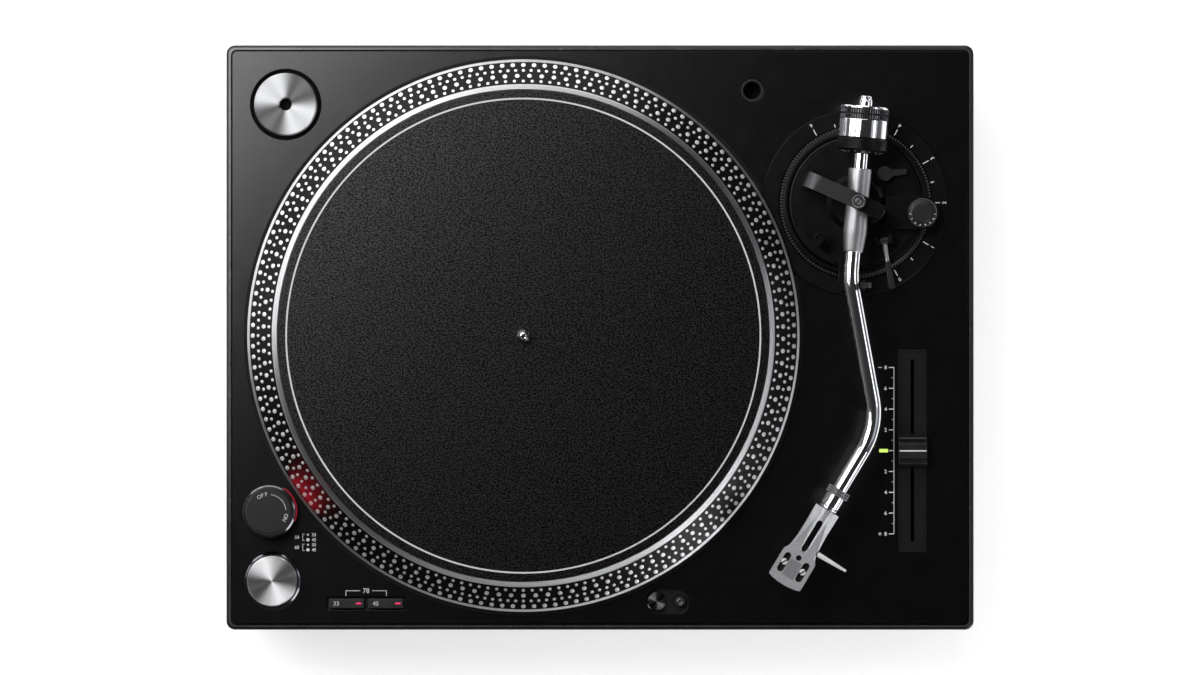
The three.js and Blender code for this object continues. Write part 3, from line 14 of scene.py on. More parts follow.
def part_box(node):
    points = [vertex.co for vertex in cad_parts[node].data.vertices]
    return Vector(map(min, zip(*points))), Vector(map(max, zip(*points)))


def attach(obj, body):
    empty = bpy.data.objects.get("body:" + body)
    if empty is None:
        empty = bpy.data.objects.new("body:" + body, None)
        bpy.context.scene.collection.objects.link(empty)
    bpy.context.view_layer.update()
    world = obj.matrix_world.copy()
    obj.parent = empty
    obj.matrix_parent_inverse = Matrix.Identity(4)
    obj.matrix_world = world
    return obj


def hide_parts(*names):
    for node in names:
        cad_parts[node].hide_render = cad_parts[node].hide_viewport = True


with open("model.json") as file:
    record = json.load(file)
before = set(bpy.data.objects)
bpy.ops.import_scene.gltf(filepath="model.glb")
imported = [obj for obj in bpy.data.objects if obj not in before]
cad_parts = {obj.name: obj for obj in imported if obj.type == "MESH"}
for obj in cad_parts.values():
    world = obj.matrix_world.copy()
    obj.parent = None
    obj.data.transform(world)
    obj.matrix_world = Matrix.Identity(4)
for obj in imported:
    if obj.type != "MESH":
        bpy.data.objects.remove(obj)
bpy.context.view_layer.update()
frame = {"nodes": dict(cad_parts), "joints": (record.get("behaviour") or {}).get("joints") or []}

bl_info = {
    "name": "Turntable",
    "version": (1, 0, 0),
    "blender": (4, 5, 0),
    "location": "View3D > Sidebar > Turntable",
    "description": "Models and finishes the pieces of a direct-drive turntable",
    "category": "Add Mesh",
}

MM = 0.001
JOINTS = {joint["name"]: joint for joint in frame["joints"]}
UP = Vector((0, 0, 1))
NEAR = 0.01  # a point that is this close to a height, in millimetres, is on it
OVER = 1  # how far a cutting tool stands out of its piece, in millimetres
YOKE_HEADING = -25.9  # degrees from the x axis to the one that the arm pitches about
CUE_HEADING = 9.2  # degrees from straight ahead to the lever of the lift
FEET = ("front_left", "front_right", "rear_left", "rear_right")


def colour(value):
    """Turns an sRGB hex value into a linear colour."""
    shares = [int(value[i:i + 2], 16) / 255 for i in (1, 3, 5)]
    return (*[s / 12.92 if s <= 0.04045 else ((s + 0.055) / 1.055) ** 2.4 for s in shares], 1.0)


def size(name, description, millimetres):
    return FloatProperty(name=name, description=description, default=millimetres * MM, unit="LENGTH",
                         precision=5)


def tint(name, description, value):
    return FloatVectorProperty(name=name, description=description, default=colour(value), subtype="COLOR",
                               size=4, min=0, max=1)


def glow(name, description, brightness):
    return FloatProperty(name=name, description=description, default=brightness, min=0)


class TurntableSizes(bpy.types.PropertyGroup):
    """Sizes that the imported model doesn't give."""
    rim_width: size("Rim width", "Width of the raised rim round the deck", 3)
    rim_round: size("Rim rounding", "How far the rim's outer edge is rounded", 1.7)
    corner: size("Case corner", "Radius of the case's upright corners", 5.3)
    groove: size("Panel groove", "Groove between the rim and the deck panel", 0.8)
    large_dot: size("Large dot", "Width of a dot in the 45 turns rows of the platter", 2.75)
    small_dot: size("Small dot", "Width of a dot in the 33 turns rows of the platter", 1.95)
    dot_rise: size("Dot rise", "How far a dot stands off the platter's slope", 0.14)
    mat_ring_radius: size("Mat ring radius", "Radius of the ring printed on the mat", 142.2)
    mat_ring_width: size("Mat ring width", "Width of the ring printed on the mat", 1)
    ink: size("Ink thickness", "How far a print stands off its surface", 0.05)
    stroke: size("Print stroke", "Width of a printed line", 0.5)
    number_height: size("Tempo number", "Height of the numbers beside the fader", 2.3)
    tempo_pitch: size("Tempo pitch", "Distance between two numbers of the tempo scale", 12.52)
    ring_tooth: size("Ring tooth", "Width of a tooth of the height ring", 0.9)
    weight_tooth: size("Weight tooth", "Width of a tooth of the counterweight's grip", 0.6)


class TurntableColours(bpy.types.PropertyGroup):
    """Colours of the finishes."""
    lacquer: tint("Deck lacquer", "Black lacquer of the deck panel", "#040405")
    casting: tint("Casting paint", "Black paint of the cast case", "#09090a")
    rubber: tint("Rubber", "Moulded rubber of the case and the feet", "#0d0d0e")
    plastic: tint("Plastic", "Black moulded plastic of knobs and buttons", "#0e0e0f")
    mat_dark: tint("Mat shade", "Darkest thread of the mat", "#000000")
    mat_light: tint("Mat light", "Lightest thread of the mat", "#161617")
    shell: tint("Headshell", "Blasted aluminium of the headshell", "#98999b")
    chrome: tint("Chrome", "Chromium plating of the arm and the weight", "#e2e3e6")
    anodised: tint("Anodised", "Black anodising of the arm's base", "#050506")
    print_light: tint("Print", "Light print of numbers and scales", "#c9cacb")
    red_glow: tint("Red light", "Light of the strobe and the speed lamps", "#ff2440")
    green_glow: tint("Green light", "Light of the tempo's centre lamp", "#d3ee7c")


class TurntableStudio(bpy.types.PropertyGroup):
    """The camera and the lamps."""
    camera_height: size("Camera height", "Height of the camera over the deck panel", 4500)
    frame_width: size("Frame width", "What the photograph's width covers at the deck panel", 722.2)
    corner_light: glow("Corner light", "Brightness of the softbox over the adapter's corner", 6.5)
    west_light: glow("West light", "Brightness of the softbox on the left", 3.5)
    north_light: glow("North light", "Brightness of the softbox behind", 2.3)
    north_west_light: glow("North-west light", "Brightness of the low softbox behind, on the left", 3.0)
    east_light: glow("East light", "Brightness of the bluish panel on the right", 0.45)
    south_east_light: glow("South-east light", "Brightness of the low panel in front, on the right", 6.5)
    strip_light: glow("Strip light", "Brightness of the small softbox that the arm reflects", 3)
    top_light: glow("Top light", "Brightness of the light overhead, which isn't reflected", 0.6)
    strobe_light: glow("Strobe light", "Brightness of the strobe's lamp", 700)
    sky: glow("Sky", "Brightness of the sky at the horizon", 0.12)


class Millimetres:
    """Reads the lengths of a property group in millimetres."""

    def __init__(self, group):
        self.group = group

    def __getattr__(self, name):
        return getattr(self.group, name) / MM


def sizes():
    return Millimetres(bpy.context.scene.turntable_sizes)


def colours():
    return bpy.context.scene.turntable_colours


# Places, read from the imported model
def corners(solid):
    """The lowest and the highest corner of a solid, in millimetres."""
    low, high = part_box(solid)
    return low / MM, high / MM


def centre(solid):
    low, high = corners(solid)
    return (low + high) / 2


def bottom_of(solid):
    return corners(solid)[0].z


def top_of(solid):
    return corners(solid)[1].z


def round_size(solid):
    """The radius, the bottom and the top of a round upright solid."""
    low, high = corners(solid)
    return (high.y - low.y) / 2, low.z, high.z


def pivot(joint):
    return Vector(JOINTS[joint]["pos_m"]) / MM


def axis(joint):
    return Vector(JOINTS[joint]["axis"]).normalized()


def at(x, y, z):
    return Matrix.Translation((x, y, z))


def about(way, angle):
    """A turn about x, y or z, in degrees."""
    return Matrix.Rotation(radians(angle), 4, way)


def standing(place, angle=0, height=0):
    """A place seen from above. Its z is the height over the table, unless a height is added."""
    return at(place[0], place[1], height) @ about("Z", angle)


def lying(origin, forward):
    """A place along a level line, with z forward, y up and x to the right."""
    turn = Matrix((UP.cross(forward), UP, forward)).transposed().to_4x4()
    return Matrix.Translation(origin) @ turn


def round_way(radius, angle):
    return radius * cos(radians(angle)), radius * sin(radians(angle))


def off_axis(point):
    """How far a point is from the piece's own axis."""
    return hypot(point.x, point.y)


# Modelling
def deselect():
    bpy.ops.object.select_all(action="DESELECT")


def choose(piece):
    deselect()
    piece.select_set(True)
    bpy.context.view_layer.objects.active = piece
    return piece


def started():
    """The primitive that was just added, with its place and scale in its mesh."""
    bpy.ops.object.transform_apply(location=True, rotation=True, scale=True)
    return bpy.context.object


def mended():
    """Merges doubles and turns the faces outwards, in edit mode, and leaves edit mode."""
    bpy.ops.mesh.select_all(action="SELECT")
    bpy.ops.mesh.remove_doubles(threshold=0.001)
    bpy.ops.mesh.normals_make_consistent(inside=False)
    bpy.ops.object.mode_set(mode="OBJECT")
    return bpy.context.object


def turned(profile, segments=96, ring=False):
    """A solid of revolution about z: a circle that is extruded and scaled from one [radius, height] point
    to the next. A ring's profile closes on its first point, and any other one has a face at both ends."""
    deselect()
    radius, height = profile[0]
    bpy.ops.mesh.primitive_circle_add(vertices=segments, radius=radius, location=(0, 0, height),
                                      fill_type="NOTHING" if ring else "NGON")
    started()
    bpy.ops.object.mode_set(mode="EDIT")
    for next_radius, next_height in list(profile[1:]) + (list(profile[:1]) if ring else []):
        move = {"value": (0, 0, next_height - height)}
        bpy.ops.mesh.extrude_edges_move(TRANSFORM_OT_translate=move)
        share = next_radius / radius
        bpy.ops.transform.resize(value=(share, share, 1), center_override=(0, 0, 0))
        radius, height = next_radius, next_height
    if not ring:
        bpy.ops.mesh.edge_face_add()
    return mended()


def rod(radius, bottom, top, segments, place=(0, 0)):
    """An upright cylinder."""
    return moved(turned([(radius, bottom), (radius, top)], segments), standing(place))


def bevelled(piece, test, width, segments):
    """Rounds the edges whose two corners pass a test."""
    choose(piece)
    bpy.ops.object.mode_set(mode="EDIT")
    bpy.ops.mesh.select_mode(type="EDGE")
    bpy.ops.mesh.select_all(action="DESELECT")
    bpy.ops.object.mode_set(mode="OBJECT")
    corner = [vertex.co for vertex in piece.data.vertices]
    for edge in piece.data.edges:
        edge.select = test(*[corner[i] for i in edge.vertices])
    bpy.ops.object.mode_set(mode="EDIT")
    bpy.ops.mesh.bevel(offset=width, segments=segments, affect="EDGES")
    bpy.ops.object.mode_set(mode="OBJECT")
    return piece


def block(width, depth, bottom, top, place=(0, 0), corner=0, steps=5):
    """A block with its upright edges rounded."""
    deselect()
    middle = (bottom + top) / 2
    bpy.ops.mesh.primitive_cube_add(size=1, location=(place[0], place[1], middle),
                                    scale=(width, depth, top - bottom))
    piece = started()
    if corner:
        bevelled(piece, lambda a, b: abs(a.z - b.z) > abs(a.x - b.x) + abs(a.y - b.y), corner, steps)
    return piece


def drawn(points, bottom, top):
    """An outline of [x, y] points, drawn on a circle with as many corners, and extruded upwards."""
    deselect()
    bpy.ops.mesh.primitive_circle_add(vertices=len(points), radius=1, fill_type="NGON")
    piece = started()
    for vertex, (x, y) in zip(piece.data.vertices, points):
        vertex.co = (x, y, bottom)
    bpy.ops.object.mode_set(mode="EDIT")
    bpy.ops.mesh.extrude_region_move(TRANSFORM_OT_translate={"value": (0, 0, top - bottom)})
    return mended()


def arc(radius, start, end, steps):
    return [round_way(radius, start + (end - start) * i / steps) for i in range(steps + 1)]


def band(inner, outer, start, end, bottom, top, steps=24):
    """A flat band between two radii and two angles."""
    return drawn(arc(outer, start, end, steps) + arc(inner, end, start, steps), bottom, top)


def stadium(length, width, bottom, top, place=(0, 0), steps=10):
    """A flat bar with half-round ends, lying along x."""
    reach = (length - width) / 2
    right = [(x + reach, y) for x, y in arc(width / 2, -90, 90, steps)]
    left = [(x - reach, y) for x, y in arc(width / 2, 90, 270, steps)]
    return moved(drawn(right + left, bottom, top), at(*place, 0))


def moved(piece, matrix):
    """Puts a piece elsewhere, with its place in its mesh."""
    choose(piece)
    piece.matrix_world = matrix
    bpy.ops.object.transform_apply(location=True, rotation=True, scale=True)
    return piece


def joined(pieces):
    deselect()
    for piece in pieces:
        piece.select_set(True)
    bpy.context.view_layer.objects.active = pieces[0]
    if len(pieces) > 1:
        bpy.ops.object.join()
    return bpy.context.object


def modified(piece, kind, **settings):
    """Adds a modifier with its settings, and applies it."""
    choose(piece)
    modifier = piece.modifiers.new(kind.lower(), kind)
    for name, value in settings.items():
        setattr(modifier, name, value)
    bpy.ops.object.modifier_apply(modifier=modifier.name)
    return piece


def combined(piece, operation, tools):
    """Cuts tools from a piece or fuses them to it, one after another."""
    for tool in tools:
        modified(piece, "BOOLEAN", operation=operation, solver="EXACT", object=tool)
        bpy.data.objects.remove(tool)
    return piece


def cut(piece, *tools):
    return combined(piece, "DIFFERENCE", tools)


def fused(piece, *others):
    return combined(piece, "UNION", others)


def softened(piece, width, segments=2, angle=30):
    """Rounds the edges that are sharper than an angle."""
    return modified(piece, "BEVEL", width=width, segments=segments, limit_method="ANGLE",
                    angle_limit=radians(angle))


def repeated(piece, count, step):
    """Repeats a piece about z, each copy turned by a step in degrees."""
    deselect()
    bpy.ops.object.empty_add(rotation=(0, 0, radians(step)))
    turn = bpy.context.object
    modified(piece, "ARRAY", count=count, use_relative_offset=False, use_object_offset=True,
             offset_object=turn)
    bpy.data.objects.remove(turn)
    return piece


def toothed(radius, bottom, top, tooth, height, count, start=0):
    """A row of upright teeth round a turned piece, each rounded and half sunk in its side."""
    deselect()
    bpy.ops.mesh.primitive_cube_add(size=1, location=(radius, 0, (bottom + top) / 2),
                                    scale=(2 * height, tooth, top - bottom))
    piece = softened(started(), min(height, tooth / 2) * 0.45, 1)
    return moved(repeated(piece, count, 360 / count), about("Z", start))


def letters(text, height, place, z, angle=0):
    """A number or word of a given height, centred on its place, as a thin raised print."""
    deselect()
    bpy.ops.object.text_add()
    words = bpy.context.object
    words.data.body = text
    words.data.extrude = 1
    words.data.offset = 0.018
    words.data.resolution_u = 3
    bpy.ops.object.convert(target="MESH")
    piece = bpy.context.object
    choose(piece)
    bpy.ops.object.mode_set(mode="EDIT")
    bpy.ops.mesh.select_all(action="SELECT")
    bpy.ops.mesh.remove_doubles(threshold=0.0001)
    bpy.ops.object.mode_set(mode="OBJECT")
    xs = [vertex.co.x for vertex in piece.data.vertices]
    ys = [vertex.co.y for vertex in piece.data.vertices]
    share = height / (max(ys) - min(ys))
    centred = at(-(max(xs) + min(xs)) / 2, -(max(ys) + min(ys)) / 2, 1)
    ink = sizes().ink
    flat = Matrix.Diagonal((share, share, ink / 2, 1))
    return moved(piece, at(*place, z) @ about("Z", angle) @ flat @ centred)


def line(start, end, z, width=None):
    """A printed line from one point to another."""
    width = width or sizes().stroke
    start, end = Vector(start), Vector(end)
    along = end - start
    bar = block(along.length, width, 0, sizes().ink)
    middle = (start + end) / 2
    return moved(bar, at(*middle, z) @ Matrix.Rotation(atan2(along.y, along.x), 4, "Z"))


def printed_dot(width, place, z):
    piece = turned([(width / 2, 0), (width / 2, sizes().ink)], 24)
    return moved(piece, at(*place, z))


def slotted_screw(radius, height, slot_width, angle=0):
    """A screw head with a slot, standing on z = 0."""
    head = turned([(radius, 0), (radius, height * 0.7), (radius * 0.8, height)], 32)
    floor = height * 0.45
    head = cut(head, block(2.5 * radius, slot_width, floor, 2 * height))
    # The slot's floor is painted near-black, as painted shade.
    painted(head, "cut_groove", lambda middle, normal: abs(middle.z - floor) < NEAR)
    return moved(head, about("Z", angle))


def painted(piece, finish, test=lambda middle, normal: True):
    """Gives the faces that pass a test a finish of their own. The first slot waits for the piece's own."""
    mesh = piece.data
    if not mesh.materials:
        mesh.materials.append(None)
    mesh.materials.append(bpy.data.materials[finish])
    for face in mesh.polygons:
        if test(face.center, face.normal):
            face.material_index = len(mesh.materials) - 1
    return piece


def settled(piece, name, body, finish, solid=None, matrix=None, smooth=30):
    """Puts a finished piece in its place in metres, shades it, gives it its finish, hangs it on the empty
    of the body that it moves with, and hides the solid that it stands for."""
    choose(piece)
    piece.name = name
    piece.data.name = name
    piece.matrix_world = Matrix.Scale(MM, 4) @ (matrix or Matrix())
    bpy.ops.object.transform_apply(location=True, rotation=True, scale=True)
    bpy.ops.object.shade_smooth_by_angle(angle=radians(smooth))
    modified(piece, "WEIGHTED_NORMAL", keep_sharp=True)
    if not piece.data.materials:
        piece.data.materials.append(None)
    for entry in piece.material_slots:
        entry.material = entry.material or bpy.data.materials[finish]
    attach(piece, body)
    if solid:
        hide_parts(solid)
    return piece


def dressed(solid, finish):
    """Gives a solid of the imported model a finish."""
    for entry in frame["nodes"][solid].material_slots:
        entry.material = bpy.data.materials[finish]


# Materials
def node(tree, kind, settings=None, inputs=None):
    """Adds a node with its settings, and with its inputs as values or as links from other nodes."""
    made = tree.nodes.new(kind)
    for name, value in (settings or {}).items():
        setattr(made, name, value)
    for name, value in (inputs or {}).items():
        if isinstance(value, bpy.types.NodeSocket):
            tree.links.new(value, made.inputs[name])
        else:
            made.inputs[name].default_value = value
    return made


def opened(name):
    """A new material's empty tree, and the place on the object that its patterns follow."""
    material = bpy.data.materials.new(name)
    material.use_nodes = True
    tree = material.node_tree
    tree.nodes.clear()
    return tree, node(tree, "ShaderNodeTexCoord").outputs["Object"]


def closed(tree, inputs):
    shader = node(tree, "ShaderNodeBsdfPrincipled", {}, inputs)
    node(tree, "ShaderNodeOutputMaterial", {}, {"Surface": shader.outputs["BSDF"]})


def wandering(tree, place, millimetres, low, high):
    """A value that wanders between two numbers over a real distance."""
    noise = node(tree, "ShaderNodeTexNoise", {},
                 {"Vector": place, "Scale": 1 / (millimetres * MM), "Detail": 3})
    spread = node(tree, "ShaderNodeMapRange", {}, {"Value": noise.outputs["Fac"], "From Min": 0.3,
                                                   "From Max": 0.7, "To Min": low, "To Max": high})
    return spread.outputs["Result"]


def grained(tree, place, millimetres, height):
    """The normal of a fine grain with a real width and height."""
    noise = node(tree, "ShaderNodeTexNoise", {},
                 {"Vector": place, "Scale": 1 / (millimetres * MM), "Detail": 2})
    bump = node(tree, "ShaderNodeBump", {}, {"Height": noise.outputs["Fac"], "Distance": height * MM})
    return bump.outputs["Normal"]


def plain_material(name, base, roughness, grain, grain_height, metallic=0.0, wander=0.05, specular=0.5,
                   mottle=14, lighter=1.2):
    """A painted, moulded or blasted surface: a base colour with lighter spots of a real width, by default
    a little dust, and a fine grain."""
    tree, place = opened(name)
    spots = tuple(min(1, lighter * value + 0.0005) for value in base[:3]) + (1,)
    shade = node(tree, "ShaderNodeMix", {"data_type": "RGBA"},
                 {0: wandering(tree, place, mottle, 0, 1), 6: base, 7: spots})
    closed(tree, {
        "Base Color": shade.outputs[2],
        "Metallic": metallic,
        "Roughness": wandering(tree, place, 9, roughness - wander, roughness + wander),
        "Specular IOR Level": specular,
        "Normal": grained(tree, place, grain, grain_height),
    })


def turned_material(name, base, place_mm, roughness=0.42, ring=0.35, level=0.7, painted_fans=()):
    """Metal that was faced on a lathe. The fine rings spread its highlights across them, so that they
    open into bright fans from the middle. Bright and dark fans are also painted into its colour, as a
    painted highlight, in a few waves, each with a count, a strength and a direction. The rings are drawn
    coarser than the tool's."""
    tree, place = opened(name)
    from_centre = node(tree, "ShaderNodeVectorMath", {"operation": "SUBTRACT"},
                       {0: place, 1: Vector(place_mm) * MM})
    flat = node(tree, "ShaderNodeVectorMath", {"operation": "MULTIPLY"},
                {0: from_centre.outputs[0], 1: (1, 1, 0)})
    away = node(tree, "ShaderNodeVectorMath", {"operation": "NORMALIZE"}, {0: flat.outputs[0]})
    distance = node(tree, "ShaderNodeVectorMath", {"operation": "LENGTH"}, {0: flat.outputs[0]})
    rings = node(tree, "ShaderNodeTexNoise", {"noise_dimensions": "1D"},
                 {"W": distance.outputs["Value"], "Scale": 1 / (ring * MM), "Detail": 3})
    bump = node(tree, "ShaderNodeBump", {}, {"Height": rings.outputs["Fac"], "Distance": 0.0003 * MM})
    world = node(tree, "ShaderNodeVectorTransform",
                 {"vector_type": "VECTOR", "convert_from": "OBJECT", "convert_to": "WORLD"},
                 {"Vector": away.outputs[0]})
    spread = node(tree, "ShaderNodeMapRange", {},
                  {"Value": rings.outputs["Fac"], "From Min": 0.3, "From Max": 0.7,
                   "To Min": roughness - 0.05, "To Max": roughness + 0.05})
    parts = node(tree, "ShaderNodeSeparateXYZ", {}, {0: away.outputs[0]})
    angle = node(tree, "ShaderNodeMath", {"operation": "ARCTAN2"},
                 {0: parts.outputs["Y"], 1: parts.outputs["X"]})
    # Bright and dark fans painted into the colour in set directions, as painted highlight.
    for count, strength, direction in painted_fans:
        phase = node(tree, "ShaderNodeMath", {"operation": "MULTIPLY_ADD"},
                     {0: angle.outputs[0], 1: count, 2: -count * radians(direction)})
        highlight_wave = node(tree, "ShaderNodeMath", {"operation": "COSINE"}, {0: phase.outputs[0]})
        level = node(tree, "ShaderNodeMath", {"operation": "MULTIPLY_ADD"},
                     {0: highlight_wave.outputs[0], 1: strength, 2: level}).outputs[0]
    shade = node(tree, "ShaderNodeMath", {"operation": "MULTIPLY_ADD", "use_clamp": True},
                 {0: rings.outputs["Fac"], 1: 0.3, 2: level})
    dull = tuple(0.15 * value for value in base[:3]) + (1,)
    metal = node(tree, "ShaderNodeMix", {"data_type": "RGBA"}, {0: shade.outputs[0], 6: dull, 7: base})
    closed(tree, {
        "Base Color": metal.outputs[2],
        "Metallic": 1.0,
        "Roughness": spread.outputs["Result"],
        "Anisotropic": 1.0,
        "Tangent": world.outputs[0],
        "Normal": bump.outputs["Normal"],
    })


def glowing_material(name, base, light, strength):
    """A coloured lens with a lamp behind it."""
    tree, place = opened(name)
    fainter = tuple(0.8 * value for value in light[:3]) + (1,)
    shine = node(tree, "ShaderNodeMix", {"data_type": "RGBA"},
                 {0: wandering(tree, place, 1.5, 0, 1), 6: light, 7: fainter})
    closed(tree, {
        "Base Color": base,
        "Roughness": 0.25,
        "Emission Color": shine.outputs[2],
        "Emission Strength": strength,
    })


def mat_material(name):
    """Woven cloth over a rubber sheet: matt threads a little over 1 mm apart, drawn coarser than real
    ones so that they show, thicker and thinner along their length, with a light printed ring. The hollows
    between the threads shine less than the threads."""
    tree, place = opened(name)
    shades = colours()
    middle = pivot("platter_spin") * MM
    lengthways, crossways = 900, 1300  # spots of the pattern to a metre, along a thread and across it
    rows = node(tree, "ShaderNodeMapping", {}, {"Vector": place, "Scale": (lengthways, crossways, 1)})
    columns = node(tree, "ShaderNodeMapping", {}, {"Vector": place, "Scale": (crossways, lengthways, 1)})
    along = node(tree, "ShaderNodeTexNoise", {}, {"Vector": rows.outputs[0], "Scale": 1.0, "Detail": 0})
    across = node(tree, "ShaderNodeTexNoise", {}, {"Vector": columns.outputs[0], "Scale": 1.0, "Detail": 0})
    weave = node(tree, "ShaderNodeMath", {"operation": "MULTIPLY_ADD"},
                 {0: across.outputs["Fac"], 1: 0.45, 2: along.outputs["Fac"]})
    threads = node(tree, "ShaderNodeMapRange", {}, {"Value": weave.outputs[0], "From Min": 0.64,
                                                    "From Max": 0.82})
    cloth = node(tree, "ShaderNodeMix", {"data_type": "RGBA"},
                 {0: threads.outputs["Result"], 6: tuple(shades.mat_dark), 7: tuple(shades.mat_light)})
    sheen = node(tree, "ShaderNodeMix", {"data_type": "RGBA"},
                 {0: threads.outputs["Result"], 6: (0.3, 0.3, 0.3, 1), 7: (1, 1, 1, 1)})
    from_centre = node(tree, "ShaderNodeVectorMath", {"operation": "SUBTRACT"}, {0: place, 1: middle})
    flat = node(tree, "ShaderNodeVectorMath", {"operation": "MULTIPLY"},
                {0: from_centre.outputs[0], 1: (1, 1, 0)})
    distance = node(tree, "ShaderNodeVectorMath", {"operation": "LENGTH"}, {0: flat.outputs[0]})
    ring_radius, half_width = sizes().mat_ring_radius * MM, sizes().mat_ring_width * MM / 2
    ring = node(tree, "ShaderNodeMath", {"operation": "COMPARE"},
                {0: distance.outputs["Value"], 1: ring_radius, 2: half_width})
    ink = node(tree, "ShaderNodeMix", {"data_type": "RGBA"},
               {0: ring.outputs[0], 6: cloth.outputs[2], 7: colour("#c0c0c1")})
    bump = node(tree, "ShaderNodeBump", {}, {"Height": weave.outputs[0], "Distance": 0.07 * MM})
    closed(tree, {
        "Base Color": ink.outputs[2],
        "Roughness": 0.28,
        "Specular IOR Level": 0.46,
        "Specular Tint": sheen.outputs[2],
        "Normal": bump.outputs["Normal"],
    })


class TURNTABLE_OT_finishes(bpy.types.Operator):
    """Mixes the materials, each named for what the real one is"""
    bl_idname = "turntable.finishes"
    bl_label = "Finishes"

    def execute(self, context):
        c = {name: tuple(getattr(colours(), name)) for name in TurntableColours.__annotations__}
        middle = pivot("platter_spin")
        # Black lacquer on sheet steel: nearly a mirror, with a faint orange peel.
        plain_material("lacquered_sheet", c["lacquer"], 0.21, 1.4, 0.0008, wander=0.015)
        # Die-cast aluminium under satin black paint, which is slightly pebbled.
        plain_material("painted_casting", c["casting"], 0.3, 0.6, 0.004, wander=0.04)
        # The rim's crest: a lighter grey paint with more gloss; the lighter grey is a painted highlight along
        # the rim.
        plain_material("burnished_paint", colour("#2e2e30"), 0.24, 0.6, 0.003, specular=0.85)
        # Painted shade: near-black, put where shade falls, on the floors of the panel's groove and of the
        # adapter's cup, under the fader's slot, and in a ring round the platter.
        plain_material("foam_seal", colour("#020202"), 0.9, 0.5, 0.02)
        # Moulded rubber: matt and a little greyed by handling.
        plain_material("moulded_rubber", c["rubber"], 0.68, 0.7, 0.02, wander=0.08)
        # Injection-moulded ABS with a fine spark-eroded grain.
        plain_material("moulded_plastic", c["plastic"], 0.42, 0.45, 0.006, wander=0.06)
        plain_material("fader_plastic", colour("#0e0e10"), 0.45, 0.4, 0.006, specular=0.2)
        plain_material("cap_plastic", colour("#171718"), 0.5, 0.3, 0.004, specular=0.3)
        # Lighter grey plastic: a painted highlight on the teeth of the height wheel, and the tips of the
        # rest's prongs.
        plain_material("rubbed_plastic", colour("#3b3b3d"), 0.4, 0.3, 0.004)
        # Knurled teeth: a satin grey metal, lighter than the anti-skating knob's plastic and, on the collar,
        # darker than the chrome as painted shade among the teeth; and a darker chrome on the weight's teeth,
        # as painted shade among them.
        plain_material("satin_grip", colour("#8d8d90"), 0.35, 0.4, 0.003, metallic=0.9)
        plain_material("grip_chromium", colour("#56565a"), 0.25, 0.8, 0.002, metallic=1.0)
        # Matt black ABS round the arm's height scale, slightly greyer than the deck.
        plain_material("matt_plastic", colour("#030304"), 0.4, 0.4, 0.004, specular=0.15)
        # Black anodised aluminium: it keeps the metal's gloss under a dark skin.
        plain_material("black_anodised", c["anodised"], 0.36, 0.5, 0.003, metallic=0.3, specular=0.25)
        # Grey anodised bar of the pivot bridge, brighter where it bends.
        plain_material("grey_anodised", colour("#3a3a3c"), 0.36, 0.4, 0.003, metallic=0.75)
        # Bead-blasted aluminium, clear coated, of the headshell and the pivot housing.
        plain_material("blasted_aluminium", c["shell"], 0.42, 0.7, 0.012, metallic=0.55, mottle=0.9,
                       lighter=1.5)
        plain_material("milled_aluminium", colour("#77777a"), 0.5, 0.5, 0.01, metallic=0.55, mottle=0.7,
                       lighter=1.5)
        plain_material("satin_aluminium", colour("#a9a9ab"), 0.42, 0.3, 0.0015, metallic=1.0, wander=0.03)
        # Chromium plate: a clean mirror with a trace of polish haze.
        plain_material("chromium_plate", c["chrome"], 0.07, 3.0, 0.0008, metallic=1.0, wander=0.02)
        plain_material("black_chromium", colour("#58585c"), 0.14, 3.0, 0.001, metallic=1.0, wander=0.03)
        # Bright steel of screws, pins and shafts, and the warmer nickel plate of the jacks.
        plain_material("bright_steel", colour("#a9abad"), 0.3, 0.5, 0.002, metallic=1.0)
        plain_material("nickel_plate", colour("#c9c6bd"), 0.18, 1.0, 0.001, metallic=1.0)
        # Machined faces of the strobe dots, left bare between the black etching.
        plain_material("bare_dot", colour("#dcdcdd"), 0.5, 0.5, 0.003, metallic=1.0)
        # The platter's slope is etched and blackened between the dots.
        plain_material("blackened_slope", colour("#020202"), 0.36, 0.6, 0.012, specular=0.19)
        # Painted shade: near-black on the floors of screw slots and of grooves cut between bright teeth,
        # where shadow falls.
        plain_material("cut_groove", colour("#08080a"), 0.5, 0.3, 0.004)
        # White zinc on the headshell's screws, and satin nickel on the finger lift: pale and soft.
        plain_material("white_zinc", colour("#dededc"), 0.42, 0.4, 0.003, metallic=0.5)
        plain_material("satin_nickel", colour("#e6e5e2"), 0.33, 0.4, 0.002, metallic=0.35)
        # Screen-printed ink, flat and matt, and fainter where it is moulded in.
        plain_material("screen_print", c["print_light"], 0.55, 0.3, 0.004)
        plain_material("dim_print", colour("#9b9c9d"), 0.55, 0.3, 0.004)
        # What is inside: sintered ferrite, enamelled wire and solder mask.
        plain_material("ferrite", colour("#39393b"), 0.6, 0.6, 0.01)
        plain_material("enamelled_copper", colour("#a9662f"), 0.35, 0.4, 0.02, metallic=0.8)
        plain_material("circuit_board", colour("#1d5230"), 0.45, 1.5, 0.01)
        # Moulded nylon in the jacks, with a soft gloss.
        plain_material("red_insulator", colour("#8e1420"), 0.4, 0.5, 0.003)
        plain_material("white_insulator", colour("#d6d4cf"), 0.4, 0.5, 0.003)
